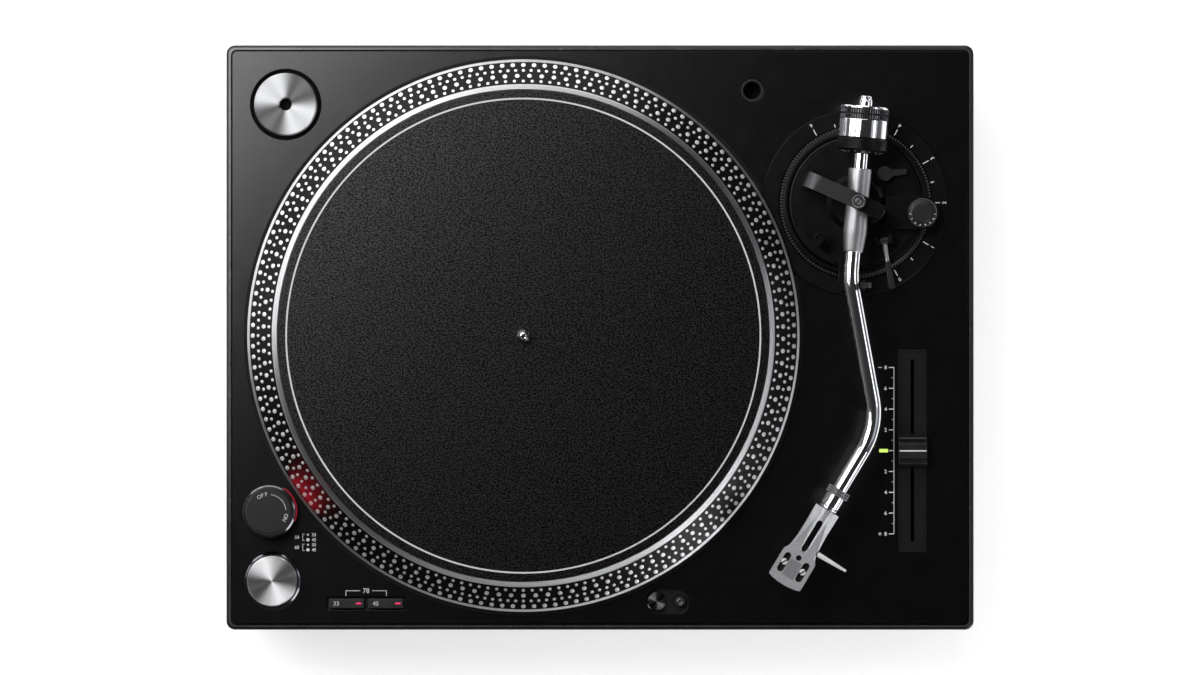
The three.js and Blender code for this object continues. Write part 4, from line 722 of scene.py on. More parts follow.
        # Aluminium faced on a lathe: the platter in one even sweep; the small parts with bright and dark fans
        # painted into their colour, as painted highlight.
        turned_material("turned_platter", colour("#e6e7e9"), middle, roughness=0.43, ring=0.5)
        turned_material("turned_adapter", colour("#d0d1d3"), centre("disc_adapter"), level=0.33,
                        painted_fans=((2, 0.42, 136), (6, 0.19, 43)))
        turned_material("turned_button", colour("#f0f0f2"), centre("start_button"), roughness=0.46,
                        level=0.62, painted_fans=((2, 0.2, 70), (4, 0.28, 35)))
        turned_material("turned_light", colour("#6a6a6c"), centre("target_light"), level=0.35,
                        painted_fans=((2, 0.4, 136), (8, 0.3, 13)))
        # Tinted acrylic with a lamp behind it.
        glowing_material("strobe_lens", colour("#4a0a14"), c["red_glow"], 0.22)
        glowing_material("speed_lamp", colour("#7a1230"), colour("#ff3c74"), 0.75)
        glowing_material("tempo_lamp", colour("#8fae2c"), c["green_glow"], 0.85)
        mat_material("woven_mat")
        return {"FINISHED"}


# Case
class TURNTABLE_OT_case(bpy.types.Operator):
    """Models the cast case, the deck panel, the rubber lower case, its cover and the feet"""
    bl_idname = "turntable.case"
    bl_label = "Case"

    adapter_hole = 21.5  # radius of the adapter's hole in the deck, and of its cup

    def execute(self, context):
        s = sizes()
        self.make_casting(s)
        self.make_deck(s)
        self.make_lower_case(s)
        self.make_cover()
        self.make_feet()
        return {"FINISHED"}

    def openings(self, bottom, top):
        """What passes through the deck and the casting, as one tool."""
        motor_hole, socket_hole, arm_hole, speed_recess = 62, 7.15, 38.4, (47.9, 8.2)
        speed = (centre("speed_button_33") + centre("speed_button_45")) / 2
        return joined([
            rod(motor_hole, bottom, top, 96, pivot("platter_spin")),
            rod(self.adapter_hole, bottom, top, 96, centre("disc_adapter")),
            block(*speed_recess, bottom, top, speed, 0.6),
            rod(socket_hole, bottom, top, 48, centre("headshell_socket")),
            rod(arm_hole, bottom, top, 96, pivot("arm_yaw")),
        ])

    def make_casting(self, s):
        low, high = corners("upper_casting")
        width, depth = high.x - low.x, high.y - low.y
        floor, wall = bottom_of("deck_plate"), 5
        under = floor - 4
        shell = block(width, depth, low.z, high.z, corner=s.corner, steps=8)
        bevelled(shell, lambda a, b: min(a.z, b.z) > high.z - NEAR, s.rim_round, 4)
        inside = block(width - 2 * wall, depth - 2 * wall, low.z - OVER, under, corner=s.corner)
        half_x, half_y = width / 2 - s.rim_width, depth / 2 - s.rim_width
        recess = block(2 * half_x, 2 * half_y, floor, high.z + OVER, corner=s.corner - s.rim_width + 1)
        adapter, light = centre("disc_adapter"), centre("target_light")
        cup_floor, sleeve_bottom = bottom_of("disc_adapter"), bottom_of("target_light")
        cup_radius, sleeve_radius = 24, 8.2
        cup = rod(cup_radius, cup_floor - 3, floor - NEAR, 64, adapter)
        sleeve = rod(sleeve_radius, sleeve_bottom, floor - NEAR, 48, light)
        tools = self.openings(under - OVER, floor + 0.5)
        cup_hole = rod(self.adapter_hole, cup_floor, floor + OVER, 96, adapter)
        back = [block(b.x - a.x + 0.6, 4 * wall, a.z - 0.3, b.z + 0.3, ((a.x + b.x) / 2, high.y - wall / 2))
                for a, b in (corners("audio_sockets"), corners("mains_inlet"))]
        light_hole, catch_hole, stem_hole, fader_slot = 5.8, 3.8, 3.4, (4, 109.6)
        small = [
            rod(light_hole, sleeve_bottom - OVER, floor + OVER, 48, light),
            rod(catch_hole, under - OVER, floor + OVER, 32, centre("target_release")),
            rod(stem_hole, under - OVER, floor + OVER, 32, centre("start_button")),
            block(*fader_slot, under - OVER, floor + OVER, centre("fader_panel")),
        ]
        seam = cut(block(width + 2, depth + 2, low.z + 1.2, low.z + 2.2),
                   block(width - 1.2, depth - 1.2, low.z, low.z + 4, corner=s.corner))
        shell = cut(shell, inside, recess)
        shell = fused(shell, cup, sleeve)
        shell = cut(shell, cup_hole, tools, *small, *back, seam)

        def on_inner_edge(point):
            return (point.z > high.z - NEAR and abs(point.x) < half_x + NEAR and abs(point.y) < half_y + NEAR)

        def on_crest(middle, normal):
            return middle.z > high.z - NEAR and normal.z > 0.99

        def on_floor(middle, normal):
            return normal.z > 0.9 and (abs(middle.z - floor) < 0.1 or abs(middle.z - cup_floor) < 0.1)

        bevelled(shell, lambda a, b: on_inner_edge(a) and on_inner_edge(b), 0.2, 1)
        # The rim's flat crest is painted a lighter grey, as a painted highlight.
        painted(shell, "burnished_paint", on_crest)
        # The floors of the groove round the panel and of the adapter's cup are painted near-black, as painted
        # shade.
        painted(shell, "foam_seal", on_floor)
        settled(shell, "case_top", "case", "painted_casting", "upper_casting")

    def make_deck(self, s):
        low, high = corners("deck_plate")
        case = corners("upper_casting")[1]
        inset = s.rim_width + s.groove
        panel = block(2 * (case.x - inset), 2 * (case.y - inset), low.z, high.z,
                      corner=s.corner - inset + 1, steps=6)
        rise = low.z - OVER, high.z + OVER
        light = centre("target_light")
        power_hole, start_hole, light_opening, fader_opening = 15.4, 17.5, (26.3, 15.2), (17.6, 122.6)
        tools = [
            self.openings(*rise),
            rod(power_hole, *rise, 64, pivot("power_turn")),
            rod(start_hole, *rise, 64, centre("start_button")),
            stadium(*light_opening, *rise, (light.x + 6.7, light.y), 16),
            block(*fader_opening, *rise, centre("fader_panel"), 0.6),
        ]
        panel = softened(cut(panel, *tools), 0.35, 2, 50)
        settled(panel, "deck_panel", "case", "lacquered_sheet", "deck_plate")
        # A thin near-black ring on the deck round the platter's edge, as a painted shadow of the platter.
        radius, top = round_size("platter")[0], high.z
        inner, outer, thickness = radius - 6, radius + 2.4, 0.06
        shadow_ring = turned([(inner, top), (outer, top), (outer, top + thickness), (inner, top + thickness)], 180,
                      ring=True)
        settled(shadow_ring, "platter_seal", "case", "foam_seal", matrix=standing(pivot("platter_spin")))

    def make_lower_case(self, s):
        low, high = corners("lower_case")
        width, depth = high.x - low.x, high.y - low.y
        body = block(width, depth, low.z, high.z, corner=s.corner, steps=8)
        bevelled(body, lambda a, b: max(a.z, b.z) < low.z + NEAR, 2.4, 4)
        inside = block(width - 28, depth - 28, low.z + 2, high.z + OVER, corner=s.corner)
        cover = block(width - 20, depth - 20, low.z - OVER, low.z + 2.05, corner=s.corner)
        grooves = [cut(block(width + 4, depth + 4, z, z + 0.9),
                       block(width - 1.6, depth - 1.6, z - 1, z + 2, corner=s.corner))
                   for z in (low.z + 6, high.z - 2)]
        body = cut(body, cover, inside, *grooves)
        settled(body, "case_bottom", "case", "moulded_rubber", "lower_case")

    def make_cover(self):
        low, high = corners("bottom_cover")
        rise = low.z - OVER, high.z + OVER
        foot_hole, slot_length, slot_width = 32.3, 46, 3
        sheet = block(high.x - low.x, high.y - low.y, low.z, high.z, corner=5.3)
        holes = [rod(foot_hole, *rise, 64, centre(f"foot_{foot}")) for foot in FEET]
        slots = [stadium(slot_length, slot_width, *rise, (x, y), 6)
                 for x in (-60, 0, 60) for y in range(-36, 40, 8)]
        sheet = cut(sheet, *holes, joined(slots))
        reach_x, reach_y = high.x - 8, high.y - 8
        spots = [(x, side * reach_y) for x in (-130, -45, 45, 130) for side in (-1, 1)]
        spots += [(side * reach_x, y) for y in (-55, 55) for side in (-1, 1)]
        screws = [moved(slotted_screw(3, 1.5, 0.8, spot[0]),
                        standing(spot, 0, low.z + 0.3) @ about("X", 180)) for spot in spots]
        settled(softened(sheet, 0.3, 1, 50), "base_cover", "case", "black_anodised", "bottom_cover")
        settled(joined(screws), "cover_screws", "case", "bright_steel")

    def make_feet(self):
        for name in FEET:
            solid = f"foot_{name}"
            radius, base, top = round_size(solid)
            foot = turned([
                (radius - 4, base), (radius - 2.6, base + 0.5), (radius - 1.6, base + 1.8),
                (radius - 1.6, base + 5.6), (radius - 3.2, base + 6.4), (radius - 3.2, base + 8),
                (radius - 0.8, base + 8.7), (radius, base + 9.8), (radius, base + 12),
                (radius - 0.7, base + 12.6), (radius, base + 13.2), (radius, base + 15.4),
                (radius - 0.7, base + 16), (radius, base + 16.6), (radius, base + 19),
                (radius - 1.6, top - 0.4), (radius - 4, top),
            ], 96)
            settled(foot, f"foot_pad_{name}", "case", "moulded_rubber", solid, standing(centre(solid)))


# Platter
class TURNTABLE_OT_platter(bpy.types.Operator):
    """Models the platter with its rows of strobe dots, the mat and the spindle"""
    bl_idname = "turntable.platter"
    bl_label = "Platter"

    rows = ((162.6, 160, "large"), (159.3, 216, "small"), (156.0, 133, "large"), (152.8, 180, "small"))

    def execute(self, context):
        s = sizes()
        place = standing(pivot("platter_spin"))
        radius, base, top = round_size("platter")
        lip_inner, lip_top = radius - 1.2, base + 4
        slope_inner, slope_top = radius - 15.4, base + 12
        floor = bottom_of("slipmat")
        web = floor - 5
        hub, wall, edge, ring = 3.9, 8, 0.3, slope_inner - 2.9

        def slope_height(r):
            return lip_top + (slope_top - lip_top) * (lip_inner - r) / (lip_inner - slope_inner)

        def on_slope(middle, normal):
            return slope_inner + edge < off_axis(middle) < lip_inner - edge and middle.z > lip_top

        body = turned([
            (hub, web), (radius - wall, web), (radius - wall, base + edge), (radius - wall + edge, base),
            (radius - edge, base), (radius, base + edge), (radius, lip_top - edge), (radius - edge, lip_top),
            (lip_inner, lip_top), (lip_inner - edge, slope_height(lip_inner - edge)),
            (slope_inner + edge, slope_height(slope_inner + edge)), (slope_inner, slope_top),
            (slope_inner - edge, slope_top + edge), (ring + edge, top), (ring, top - edge), (ring, floor),
            (hub, floor),
        ], 240, ring=True)
        painted(body, "blackened_slope", on_slope)
        settled(body, "turned_platter", "platter", "turned_platter", "platter", place)
        tilt = atan2(slope_top - lip_top, lip_inner - slope_inner)
        dots = []
        for row_radius, count, kind in self.rows:
            width = s.large_dot if kind == "large" else s.small_dot
            dot = turned([(width / 2, -0.2), (width / 2, s.dot_rise * 0.6),
                          (width / 2 - 0.15, s.dot_rise), (width / 5, s.dot_rise * 1.1)], 14)
            spot = at(row_radius, 0, slope_height(row_radius)) @ Matrix.Rotation(tilt, 4, "Y")
            dots.append(repeated(moved(dot, spot), count, 360 / count))
        settled(joined(dots), "strobe_dots", "platter", "bare_dot", matrix=place @ about("Z", -90))
        self.make_mat(place, hub, floor)
        self.make_spindle(place, web)
        for solid, finish in (("rotor_magnet", "ferrite"), ("bearing_housing", "bright_steel"),
                              ("motor_stator", "enamelled_copper")):
            dressed(solid, finish)
        return {"FINISHED"}

    def make_mat(self, place, hub, floor):
        radius, _, top = round_size("slipmat")
        mat = turned([
            (hub, floor), (radius - 0.5, floor), (radius - 0.4, floor + 0.3), (radius - 0.4, floor + 1.4),
            (radius - 0.7, floor + 1.6), (radius - 0.1, floor + 1.8), (radius, floor + 2.2),
            (radius - 0.1, top - 0.2), (radius - 0.5, top), (radius - 70, top), (hub + 0.4, top),
            (hub, top - 0.3),
        ], 240, ring=True)
        settled(mat, "cloth_mat", "platter", "woven_mat", "slipmat", place)

    def make_spindle(self, place, web):
        base, top = bottom_of("spindle"), top_of("spindle")
        pin = turned([
            (3.4, base), (3.6, base + 0.3), (3.6, web - 2.5), (11.6, web - 2.5), (12, web - 2.2),
            (12, web - 0.3), (11.7, web), (3.6, web), (3.6, top - 3.2), (3.4, top - 2.7), (2.3, top - 0.9),
            (1.7, top - 0.25), (1, top),
        ], 48)
        settled(pin, "spindle_pin", "platter", "chromium_plate", "spindle", place)


# Controls
class TURNTABLE_OT_adapter(bpy.types.Operator):
    """Models the record adapter, the headshell socket and the pop-up light"""
    bl_idname = "turntable.adapter"
    bl_label = "Adapter, socket and light"

    def execute(self, context):
        radius, base, top = round_size("disc_adapter")
        adapter = turned([
            (3.7, base + 0.3), (4, base), (radius - 0.4, base), (radius, base + 0.4), (radius, top - 1),
            (radius - 0.25, top - 0.5), (radius - 0.9, top), (8.6, top - 0.15), (4.4, top - 0.5),
            (3.7, top - 1.1),
        ], 128, ring=True)
        settled(adapter, "record_adapter", "disc_adapter", "turned_adapter", "disc_adapter",
                standing(centre("disc_adapter")))
        radius, base, top = round_size("headshell_socket")
        socket = turned([
            (radius, base), (radius, top - 0.2), (radius - 0.3, top), (radius - 1, top),
            (radius - 1.6, top - 0.6), (radius - 1.6, base + 2),
        ], 64)
        settled(socket, "socket_sleeve", "case", "moulded_rubber", "headshell_socket",
                standing(centre("headshell_socket")))
        self.make_light()
        return {"FINISHED"}

    def make_light(self):
        radius, base, top = round_size("target_light")
        light = turned([
            (radius, base), (radius, top - 0.6), (radius - 0.5, top - 0.1), (radius - 0.9, top),
            (1, top - 0.35), (0.3, top - 0.4),
        ], 64)
        settled(light, "light_post", "target_light", "turned_light", "target_light",
                standing(centre("target_light")))
        lens_angle = 215
        lens = block(2.2, 3, top - 6, top - 2.4, (radius - 0.8, 0), 0.4)
        settled(softened(lens, 0.2), "light_lens", "target_light", "white_insulator",
                matrix=standing(centre("target_light"), lens_angle))
        radius, base, top = round_size("target_release")
        button = turned([(radius, base), (radius, top - 0.4), (radius - 0.3, top - 0.05),
                         (radius - 0.8, top), (1, top - 0.15)], 48)
        settled(button, "light_catch", "target_release", "moulded_plastic", "target_release",
                standing(centre("target_release")))
        mark = [moved(band(0.65, 1.05, start, start + 230, 0, sizes().ink, 16), at(x, y, 0))
                for x, y, start in ((-0.55, 0.75, 20), (0.55, -0.75, 200))]
        settled(joined(mark), "catch_mark", "target_release", "dim_print",
                matrix=standing(centre("target_release"), 0, top - 0.12))


class TURNTABLE_OT_power(bpy.types.Operator):
    """Models the strobe's tower and lens, the power switch and its cap with ON and OFF"""
    bl_idname = "turntable.power"
    bl_label = "Power switch and strobe"

    def execute(self, context):
        place = standing(pivot("power_turn"))
        base, top = bottom_of("strobe_tower"), top_of("strobe_tower")
        outer, bore = 15.1, 11.6
        tower = turned([(bore, base), (outer, base), (outer, top - 0.3), (outer - 0.3, top), (bore, top)], 96,
                       ring=True)
        lens_low, lens_high = bottom_of("strobe_lens"), top_of("strobe_lens")
        first, last = -24, 61
        tower = cut(tower, band(bore - OVER, outer + OVER, first, last, lens_low - 0.3, lens_high + 0.3))
        settled(tower, "strobe_housing", "case", "moulded_plastic", "strobe_tower", place)
        lens = band(bore + 0.3, 16.3, first + 1.2, last - 1.2, lens_low, lens_high, 32)
        settled(softened(lens, 0.4, 3), "strobe_window", "case", "strobe_lens", "strobe_lens", place)
        dressed("strobe_lamp", "speed_lamp")
        low, high = bottom_of("power_dial"), top_of("power_dial")
        cap_radius = 13.4
        dial = turned([
            (bore, low), (15.3, low), (15.7, low + 0.4), (15.7, high - 2), (15.6, high - 1.8),
            (14.75, high - 1.25), (14.5, high - 1.25), (14.1, high - 0.9), (13.75, high - 0.4),
            (cap_radius + 0.2, high - 0.3), (cap_radius + 0.2, high - 3), (bore, high - 3),
        ], 96, ring=True)
        painted(dial, "black_chromium",
                lambda middle, normal: off_axis(middle) > 14.6 and middle.z > high - 2)
        grip = toothed(15.62, low + 0.7, high - 2.2, 0.7, 0.16, 90)
        settled(joined([dial, grip]), "power_ring", "power_dial", "moulded_plastic", "power_dial", place)
        cap_low, cap_top = bottom_of("power_cap"), top_of("power_cap")
        under = high - 2.6
        cap = turned([
            (11.2, cap_low), (11.2, under), (cap_radius - 0.2, under), (cap_radius, under + 0.2),
            (cap_radius, cap_top - 0.45), (cap_radius - 0.15, cap_top - 0.15), (cap_radius - 0.5, cap_top),
            (1, cap_top),
        ], 96)
        settled(cap, "power_plate", "case", "cap_plastic", "power_cap", place)
        self.make_print(place, cap_top)
        return {"FINISHED"}

    def make_print(self, place, top):
        radius, height = 10.5, 2.4
        letter_step = 12.5
        marks = []
        for word, middle in (("OFF", 112), ("ON", -21)):
            for i, letter in enumerate(word):
                angle = middle - letter_step * (i - (len(word) - 1) / 2)
                marks.append(letters(letter, height, round_way(radius, angle), top, angle - 90))
        marks.append(band(9.9, 10.3, 5, 84, top, top + sizes().ink, 32))
        settled(joined(marks), "power_marks", "case", "dim_print", matrix=place)


class TURNTABLE_OT_start(bpy.types.Operator):
    """Models the start button and the ring round it"""
    bl_idname = "turntable.start"
    bl_label = "Start button"

    def execute(self, context):
        place = standing(centre("start_button"))
        base, top = bottom_of("start_surround"), top_of("start_surround")
        ring = turned([
            (15.4, base), (17.2, base), (17.2, top - 0.9), (17.05, top - 0.7), (16.05, top - 0.08),
            (15.85, top), (15.6, top - 0.15), (15.4, top - 0.6),
        ], 96, ring=True)
        settled(ring, "start_ring", "case", "black_chromium", "start_surround", place)
        low, high = bottom_of("start_button"), top_of("start_button")
        radius, stem, skirt = 15.1, 3, high - 4.4
        button = turned([
            (stem, low), (stem, skirt), (radius - 0.3, skirt), (radius, skirt + 0.3), (radius, high - 0.9),
            (radius - 0.2, high - 0.45), (radius - 0.75, high - 0.02), (radius - 1.1, high - 0.12),
            (radius - 1.5, high), (1.5, high - 0.05), (0.6, high - 0.05),
        ], 128)
        settled(button, "start_key", "start_button", "turned_button", "start_button", place)
        return {"FINISHED"}


class TURNTABLE_OT_speed(bpy.types.Operator):
    """Models the two speed buttons with their lamps, and the prints round them"""
    bl_idname = "turntable.speed"
    bl_label = "Speed buttons"

    def execute(self, context):
        dressed("speed_switch_well", "moulded_plastic")
        for number in ("33", "45"):
            solid = f"speed_button_{number}"
            low, high = corners(solid)
            width, depth = high.x - low.x, high.y - low.y
            place = standing(centre(solid))
            key = block(width, depth, high.z - 4.4, high.z, corner=0.5, steps=3)
            key = softened(key, 0.35, 2, 50)
            stem = block(6, 3, low.z, high.z - 4)
            settled(fused(key, stem), f"speed_key_{number}", solid, "moulded_plastic", solid, place)
            lamp = stadium(3.5, 1.1, high.z - 0.4, high.z + 0.12, (7.3, 0), 8)
            settled(softened(lamp, 0.15, 2, 50), f"speed_lamp_{number}", solid, "speed_lamp", matrix=place)
            mark = letters(number, 2.7, (-6.1, 0), high.z)
            settled(mark, f"speed_number_{number}", solid, "dim_print", matrix=place)
        self.make_bracket()
        return {"FINISHED"}

    def make_bracket(self):
        top = top_of("deck_plate")
        middle = (centre("speed_button_33") + centre("speed_button_45")) / 2
        recess_top = middle.y + 4.1
        half, gap = 12.2, 3.6
        bar = middle.y + 7.6
        marks = [letters("78", 3, (middle.x, bar), top)]
        for side in (-1, 1):
            marks.append(line((middle.x + side * half, recess_top + 0.4), (middle.x + side * half, bar), top))
            marks.append(line((middle.x + side * gap, bar), (middle.x + side * (half + 0.2), bar), top))
        settled(joined(marks), "speed_bracket", "case", "dim_print")


class TURNTABLE_OT_legend(bpy.types.Operator):
    """Prints the strobe's legend: which row of dots stands still at which speed"""
    bl_idname = "turntable.legend"
    bl_label = "Strobe legend"

    def execute(self, context):
        top = top_of("deck_plate")
        dot_x, number_x, mains_x, bracket_x = -175.8, -172.2, -182.4, -178.9
        first_row, pitch = -118.7, 3.02
        marks = []
        for group, mains in enumerate(("50", "60")):
            rows = [first_row - pitch * (2 * group + i) for i in range(2)]
            for y, width, number in zip(rows, (1.1, 2.0), ("33", "45")):
                marks.append(printed_dot(width, (dot_x, y), top))
                marks.append(letters(number, 1.9, (number_x, y), top))
            middle = sum(rows) / 2
            marks.append(letters(mains, 2, (mains_x, middle), top))
            ends = (rows[0] + 0.4, rows[1] - 0.4)
            marks.append(line((bracket_x, ends[0]), (bracket_x, ends[1]), top, 0.3))
            for y in ends:
                marks.append(line((bracket_x - 0.15, y), (bracket_x + 1.1, y), top, 0.3))
        settled(joined(marks), "strobe_legend", "case", "screen_print")
        return {"FINISHED"}


class TURNTABLE_OT_fader(bpy.types.Operator):
    """Models the tempo fader, its scale and its centre lamp"""
    bl_idname = "turntable.fader"
    bl_label = "Tempo fader"

    def execute(self, context):
        s = sizes()
        low, high = corners("fader_panel")
        middle = centre("fader_panel")
        width, length = high.x - low.x, high.y - low.y
        slot = block(2, 109.6, low.z - OVER, high.z + OVER)
        well = block(width - 3.2, length - 3.2, high.z - 0.35, high.z + OVER, corner=0.4)
        panel = softened(cut(block(width, length, low.z, high.z, corner=0.5), well, slot), 0.15, 1, 50)
        settled(panel, "fader_plate", "case", "fader_plastic", "fader_panel", standing(middle))
        # The fader's body under the slot is near-black, as painted shade inside the slot.
        dressed("fader_body", "foam_seal")
        self.make_knob(width)
        self.make_scale(s, low.x, middle)
        return {"FINISHED"}

    def make_knob(self, width):
        low, high = corners("fader_knob")
        middle = centre("fader_knob")
        half, top = (high.y - low.y) / 2, high.z
        base = top - 8
        side = [
            (half, 0), (half - 0.2, 1), (half - 2.3, 6.7), (half - 3.2, 7.1), (half - 4.2, 5.9),
            (half - 5, 5.8), (half - 5.6, 7.6), (half - 6, 8),
        ]
        outline = side + [(-y, z) for y, z in reversed(side)]
        knob = moved(drawn(outline, -width / 2, width / 2), about("Z", 90) @ about("X", 90))
        knob = softened(moved(knob, at(0, 0, base)), 0.25, 2, 25)
        stem = block(1.2, 6, low.z, base + 2)
        settled(joined([knob, stem]), "fader_cap", "fader_knob", "moulded_plastic", "fader_knob",
                standing(middle))
        mark = block(width - 0.8, 0.8, top - 0.1, top + 0.05)
        settled(mark, "fader_mark", "fader_knob", "screen_print", matrix=standing(middle))

    def make_scale(self, s, panel_left, middle):
        top = top_of("deck_plate")
        line_x = panel_left - 2.6
        number_x = line_x - 5
        steps, long_tick, short_tick = 4, 3, 1.4
        marks = [line((line_x, middle.y - steps * s.tempo_pitch), (line_x, middle.y + steps * s.tempo_pitch),
                      top, 0.35)]
        for i in range(-2 * steps, 2 * steps + 1):
            y = middle.y + i * s.tempo_pitch / 2
            length = short_tick if i % 2 else long_tick
            marks.append(line((line_x - length, y), (line_x, y), top, 0.3 if i % 2 else 0.55))
            if i % 2 == 0 and i:
                marks.append(letters(str(abs(i)), s.number_height, (number_x, y), top))
        sign_x = number_x - 3.4
        for y in (middle.y + steps * s.tempo_pitch, middle.y - steps * s.tempo_pitch):
            marks.append(line((sign_x - 1.1, y), (sign_x + 1.1, y), top, 0.35))
        marks.append(line((sign_x, y - 1.1), (sign_x, y + 1.1), top, 0.35))
        settled(joined(marks), "tempo_scale", "case", "screen_print")
        lamp = block(5.3, 2.1, top - 0.3, top + 0.15, (line_x - 6.2, middle.y), 0.2)
        settled(lamp, "tempo_lamp", "case", "tempo_lamp")


# Tonearm base
class TURNTABLE_OT_arm_height(bpy.types.Operator):
    """Models the arm's height scale with its numbers, and the toothed ring that sets the height"""
    bl_idname = "turntable.arm_height"
    bl_label = "Arm height"

    def execute(self, context):
        s = sizes()
        place = standing(pivot("arm_yaw"))
        outer, base, top = 56.2, bottom_of("height_scale"), top_of("height_scale")
        disc = turned([(46, base), (outer, base), (outer - 0.25, top - 0.35), (outer - 0.7, top), (46.4, top),
                       (46, top - 0.3)], 144, ring=True)
        settled(disc, "height_dial", "case", "matt_plastic", "height_scale", place)
        first, per_step = -60, 30
        marks = []
        for half_steps in (0, 1, 2, 4, 5, 6, 7, 8, 9, 11, 12):
            angle = first + per_step * half_steps / 2
            reach = 48.9 if half_steps % 2 else 50.8
            marks.append(line(round_way(46.8, angle), round_way(reach, angle), top, 0.55))
            if half_steps % 2 == 0:
                marks.append(letters(str(half_steps // 2), 2.3, round_way(53.4, angle), top, angle + 90))
        settled(joined(marks), "height_numbers", "case", "screen_print", matrix=place)
        low, high = bottom_of("height_ring"), top_of("height_ring")
        ring = turned([
            (40.4, low), (45.1, low), (45.1, high - 1.9), (44.4, high - 0.9), (43, high - 0.15), (42.6, high),
            (41, high), (40.6, high - 0.2), (40.4, high - 0.5),
        ], 150, ring=True)
        teeth = toothed(45.05, low + 0.3, high - 1.6, s.ring_tooth, 0.5, 150)
        tips = toothed(44.3, high - 1.8, high - 0.75, s.ring_tooth, 0.75, 150)
        # The teeth and their tips are painted a lighter grey, as the painted highlight that their ridges
        # catch.
        painted(teeth, "rubbed_plastic")
        painted(tips, "rubbed_plastic")
        settled(joined([ring, teeth, tips]), "height_wheel", "height_ring", "matt_plastic", "height_ring",
                place)
        dressed("height_sleeve", "black_anodised")
        return {"FINISHED"}


class TURNTABLE_OT_arm_base(bpy.types.Operator):
    """Models the arm's base with its bearing pillar, the anti-skating block and knob, and the lock lever"""
    bl_idname = "turntable.arm_base"
    bl_label = "Arm base"

    def execute(self, context):
        place = standing(pivot("arm_yaw"))
        top = bottom_of("antiskate_block")
        base = top - 5
        skirt = bottom_of("arm_base")
        pillar_top = top + 6
        body = turned([
            (29.7, top - 2.5), (29.7, skirt), (33.7, skirt), (33.7, base), (39.6, base), (40, base + 0.4),
            (40, top - 0.6), (39.7, top - 0.15), (39.2, top), (38.6, top), (38.3, top - 0.25),
            (37.9, top - 0.25), (37.6, top), (17.3, top), (17.3, pillar_top - 2.4), (15.6, pillar_top - 0.9),
            (14.9, pillar_top), (3, pillar_top), (2.4, pillar_top - 0.3), (2.4, pillar_top - 4.9),
        ], 120)
        cue = pivot("cue_turn")
        arm = pivot("arm_yaw")
        ears = cut(block(10.6, 5.6, top - 0.7, cue.z + 2.6), block(5.8, 7, top + 0.2, cue.z + 4))
        ears = moved(softened(ears, 0.6, 2, 50), standing((cue.x - arm.x, cue.y - arm.y), CUE_HEADING))
        settled(joined([body, ears]), "arm_plinth", "arm_base", "black_anodised", "arm_base", place)
        self.make_antiskate(place, top)
        self.make_lock(top)
        return {"FINISHED"}

    def make_antiskate(self, place, top):
        knob = pivot("antiskate_turn") - pivot("arm_yaw")
        block_low, block_high = corners("antiskate_block")
        width = block_high.y - block_low.y
        roof = block_high.z
        pillar_radius = 17.6
        round_end = [(knob.x + x, knob.y + y) for x, y in arc(width / 2, -90, 90, 24)]
        outline = [(pillar_radius, knob.y - width / 2)] + round_end + [(pillar_radius, knob.y + width / 2)]
        body = drawn(outline, top, roof)
        pillar = rod(pillar_radius, top - OVER, roof + OVER, 96)
        cue = pivot("cue_turn") - pivot("arm_yaw")
        room = rod(width / 2, top - OVER, roof + OVER, 48, cue)
        body = softened(cut(body, pillar, room), 0.7, 3, 40)
        settled(body, "skate_housing", "arm_base", "black_anodised", "antiskate_block", place)
        low, high = roof + 0.4, top_of("antiskate_knob")
        spot = standing(pivot("antiskate_turn"))
        radius = 8.7
        dial = turned([
            (2, bottom_of("antiskate_knob")), (2, low), (radius - 0.6, low), (radius - 0.35, low + 0.3),
            (radius - 0.35, high - 1.6), (radius - 0.7, high - 1.15), (6.1, high - 0.75), (5.95, high - 0.3),
            (5.6, high - 0.05), (5, high), (1, high),
        ], 96)
        teeth = toothed(radius - 0.35, low + 0.3, high - 1.7, 0.55, 0.35, 60)
        painted(teeth, "satin_grip")
        settled(joined([dial, teeth]), "skate_dial", "antiskate_knob", "moulded_plastic", "antiskate_knob",
                spot)
        marks = []
        first, last, count = 186, 354, 8
        for i in range(count):
            angle = first + (last - first) * i / (count - 1)
            marks.append(letters(str(i), 1.6, round_way(7.2, angle), high - 0.98, angle + 90))
        settled(joined(marks), "skate_numbers", "antiskate_knob", "screen_print", matrix=spot)

    def make_lock(self, top):
        hub_top, heading = top_of("lock_lever"), 6
        hub = turned([(4.2, top + 0.3), (4.4, top + 0.5), (4.4, hub_top - 0.5), (3.9, hub_top - 0.05),
                      (3.3, hub_top)], 48)
        handle = drawn([(0, -2.5), (9, -1.7), (12.4, -1.75), (13, -1.2), (13, 1.2), (12.4, 1.75), (9, 1.7),
                        (0, 2.5)], hub_top - 2.6, hub_top - 0.3)
        lever = softened(fused(hub, handle), 0.4, 2, 40)
        settled(lever, "lock_handle", "lock_lever", "moulded_plastic", "lock_lever",
                standing(pivot("lock_turn"), heading))


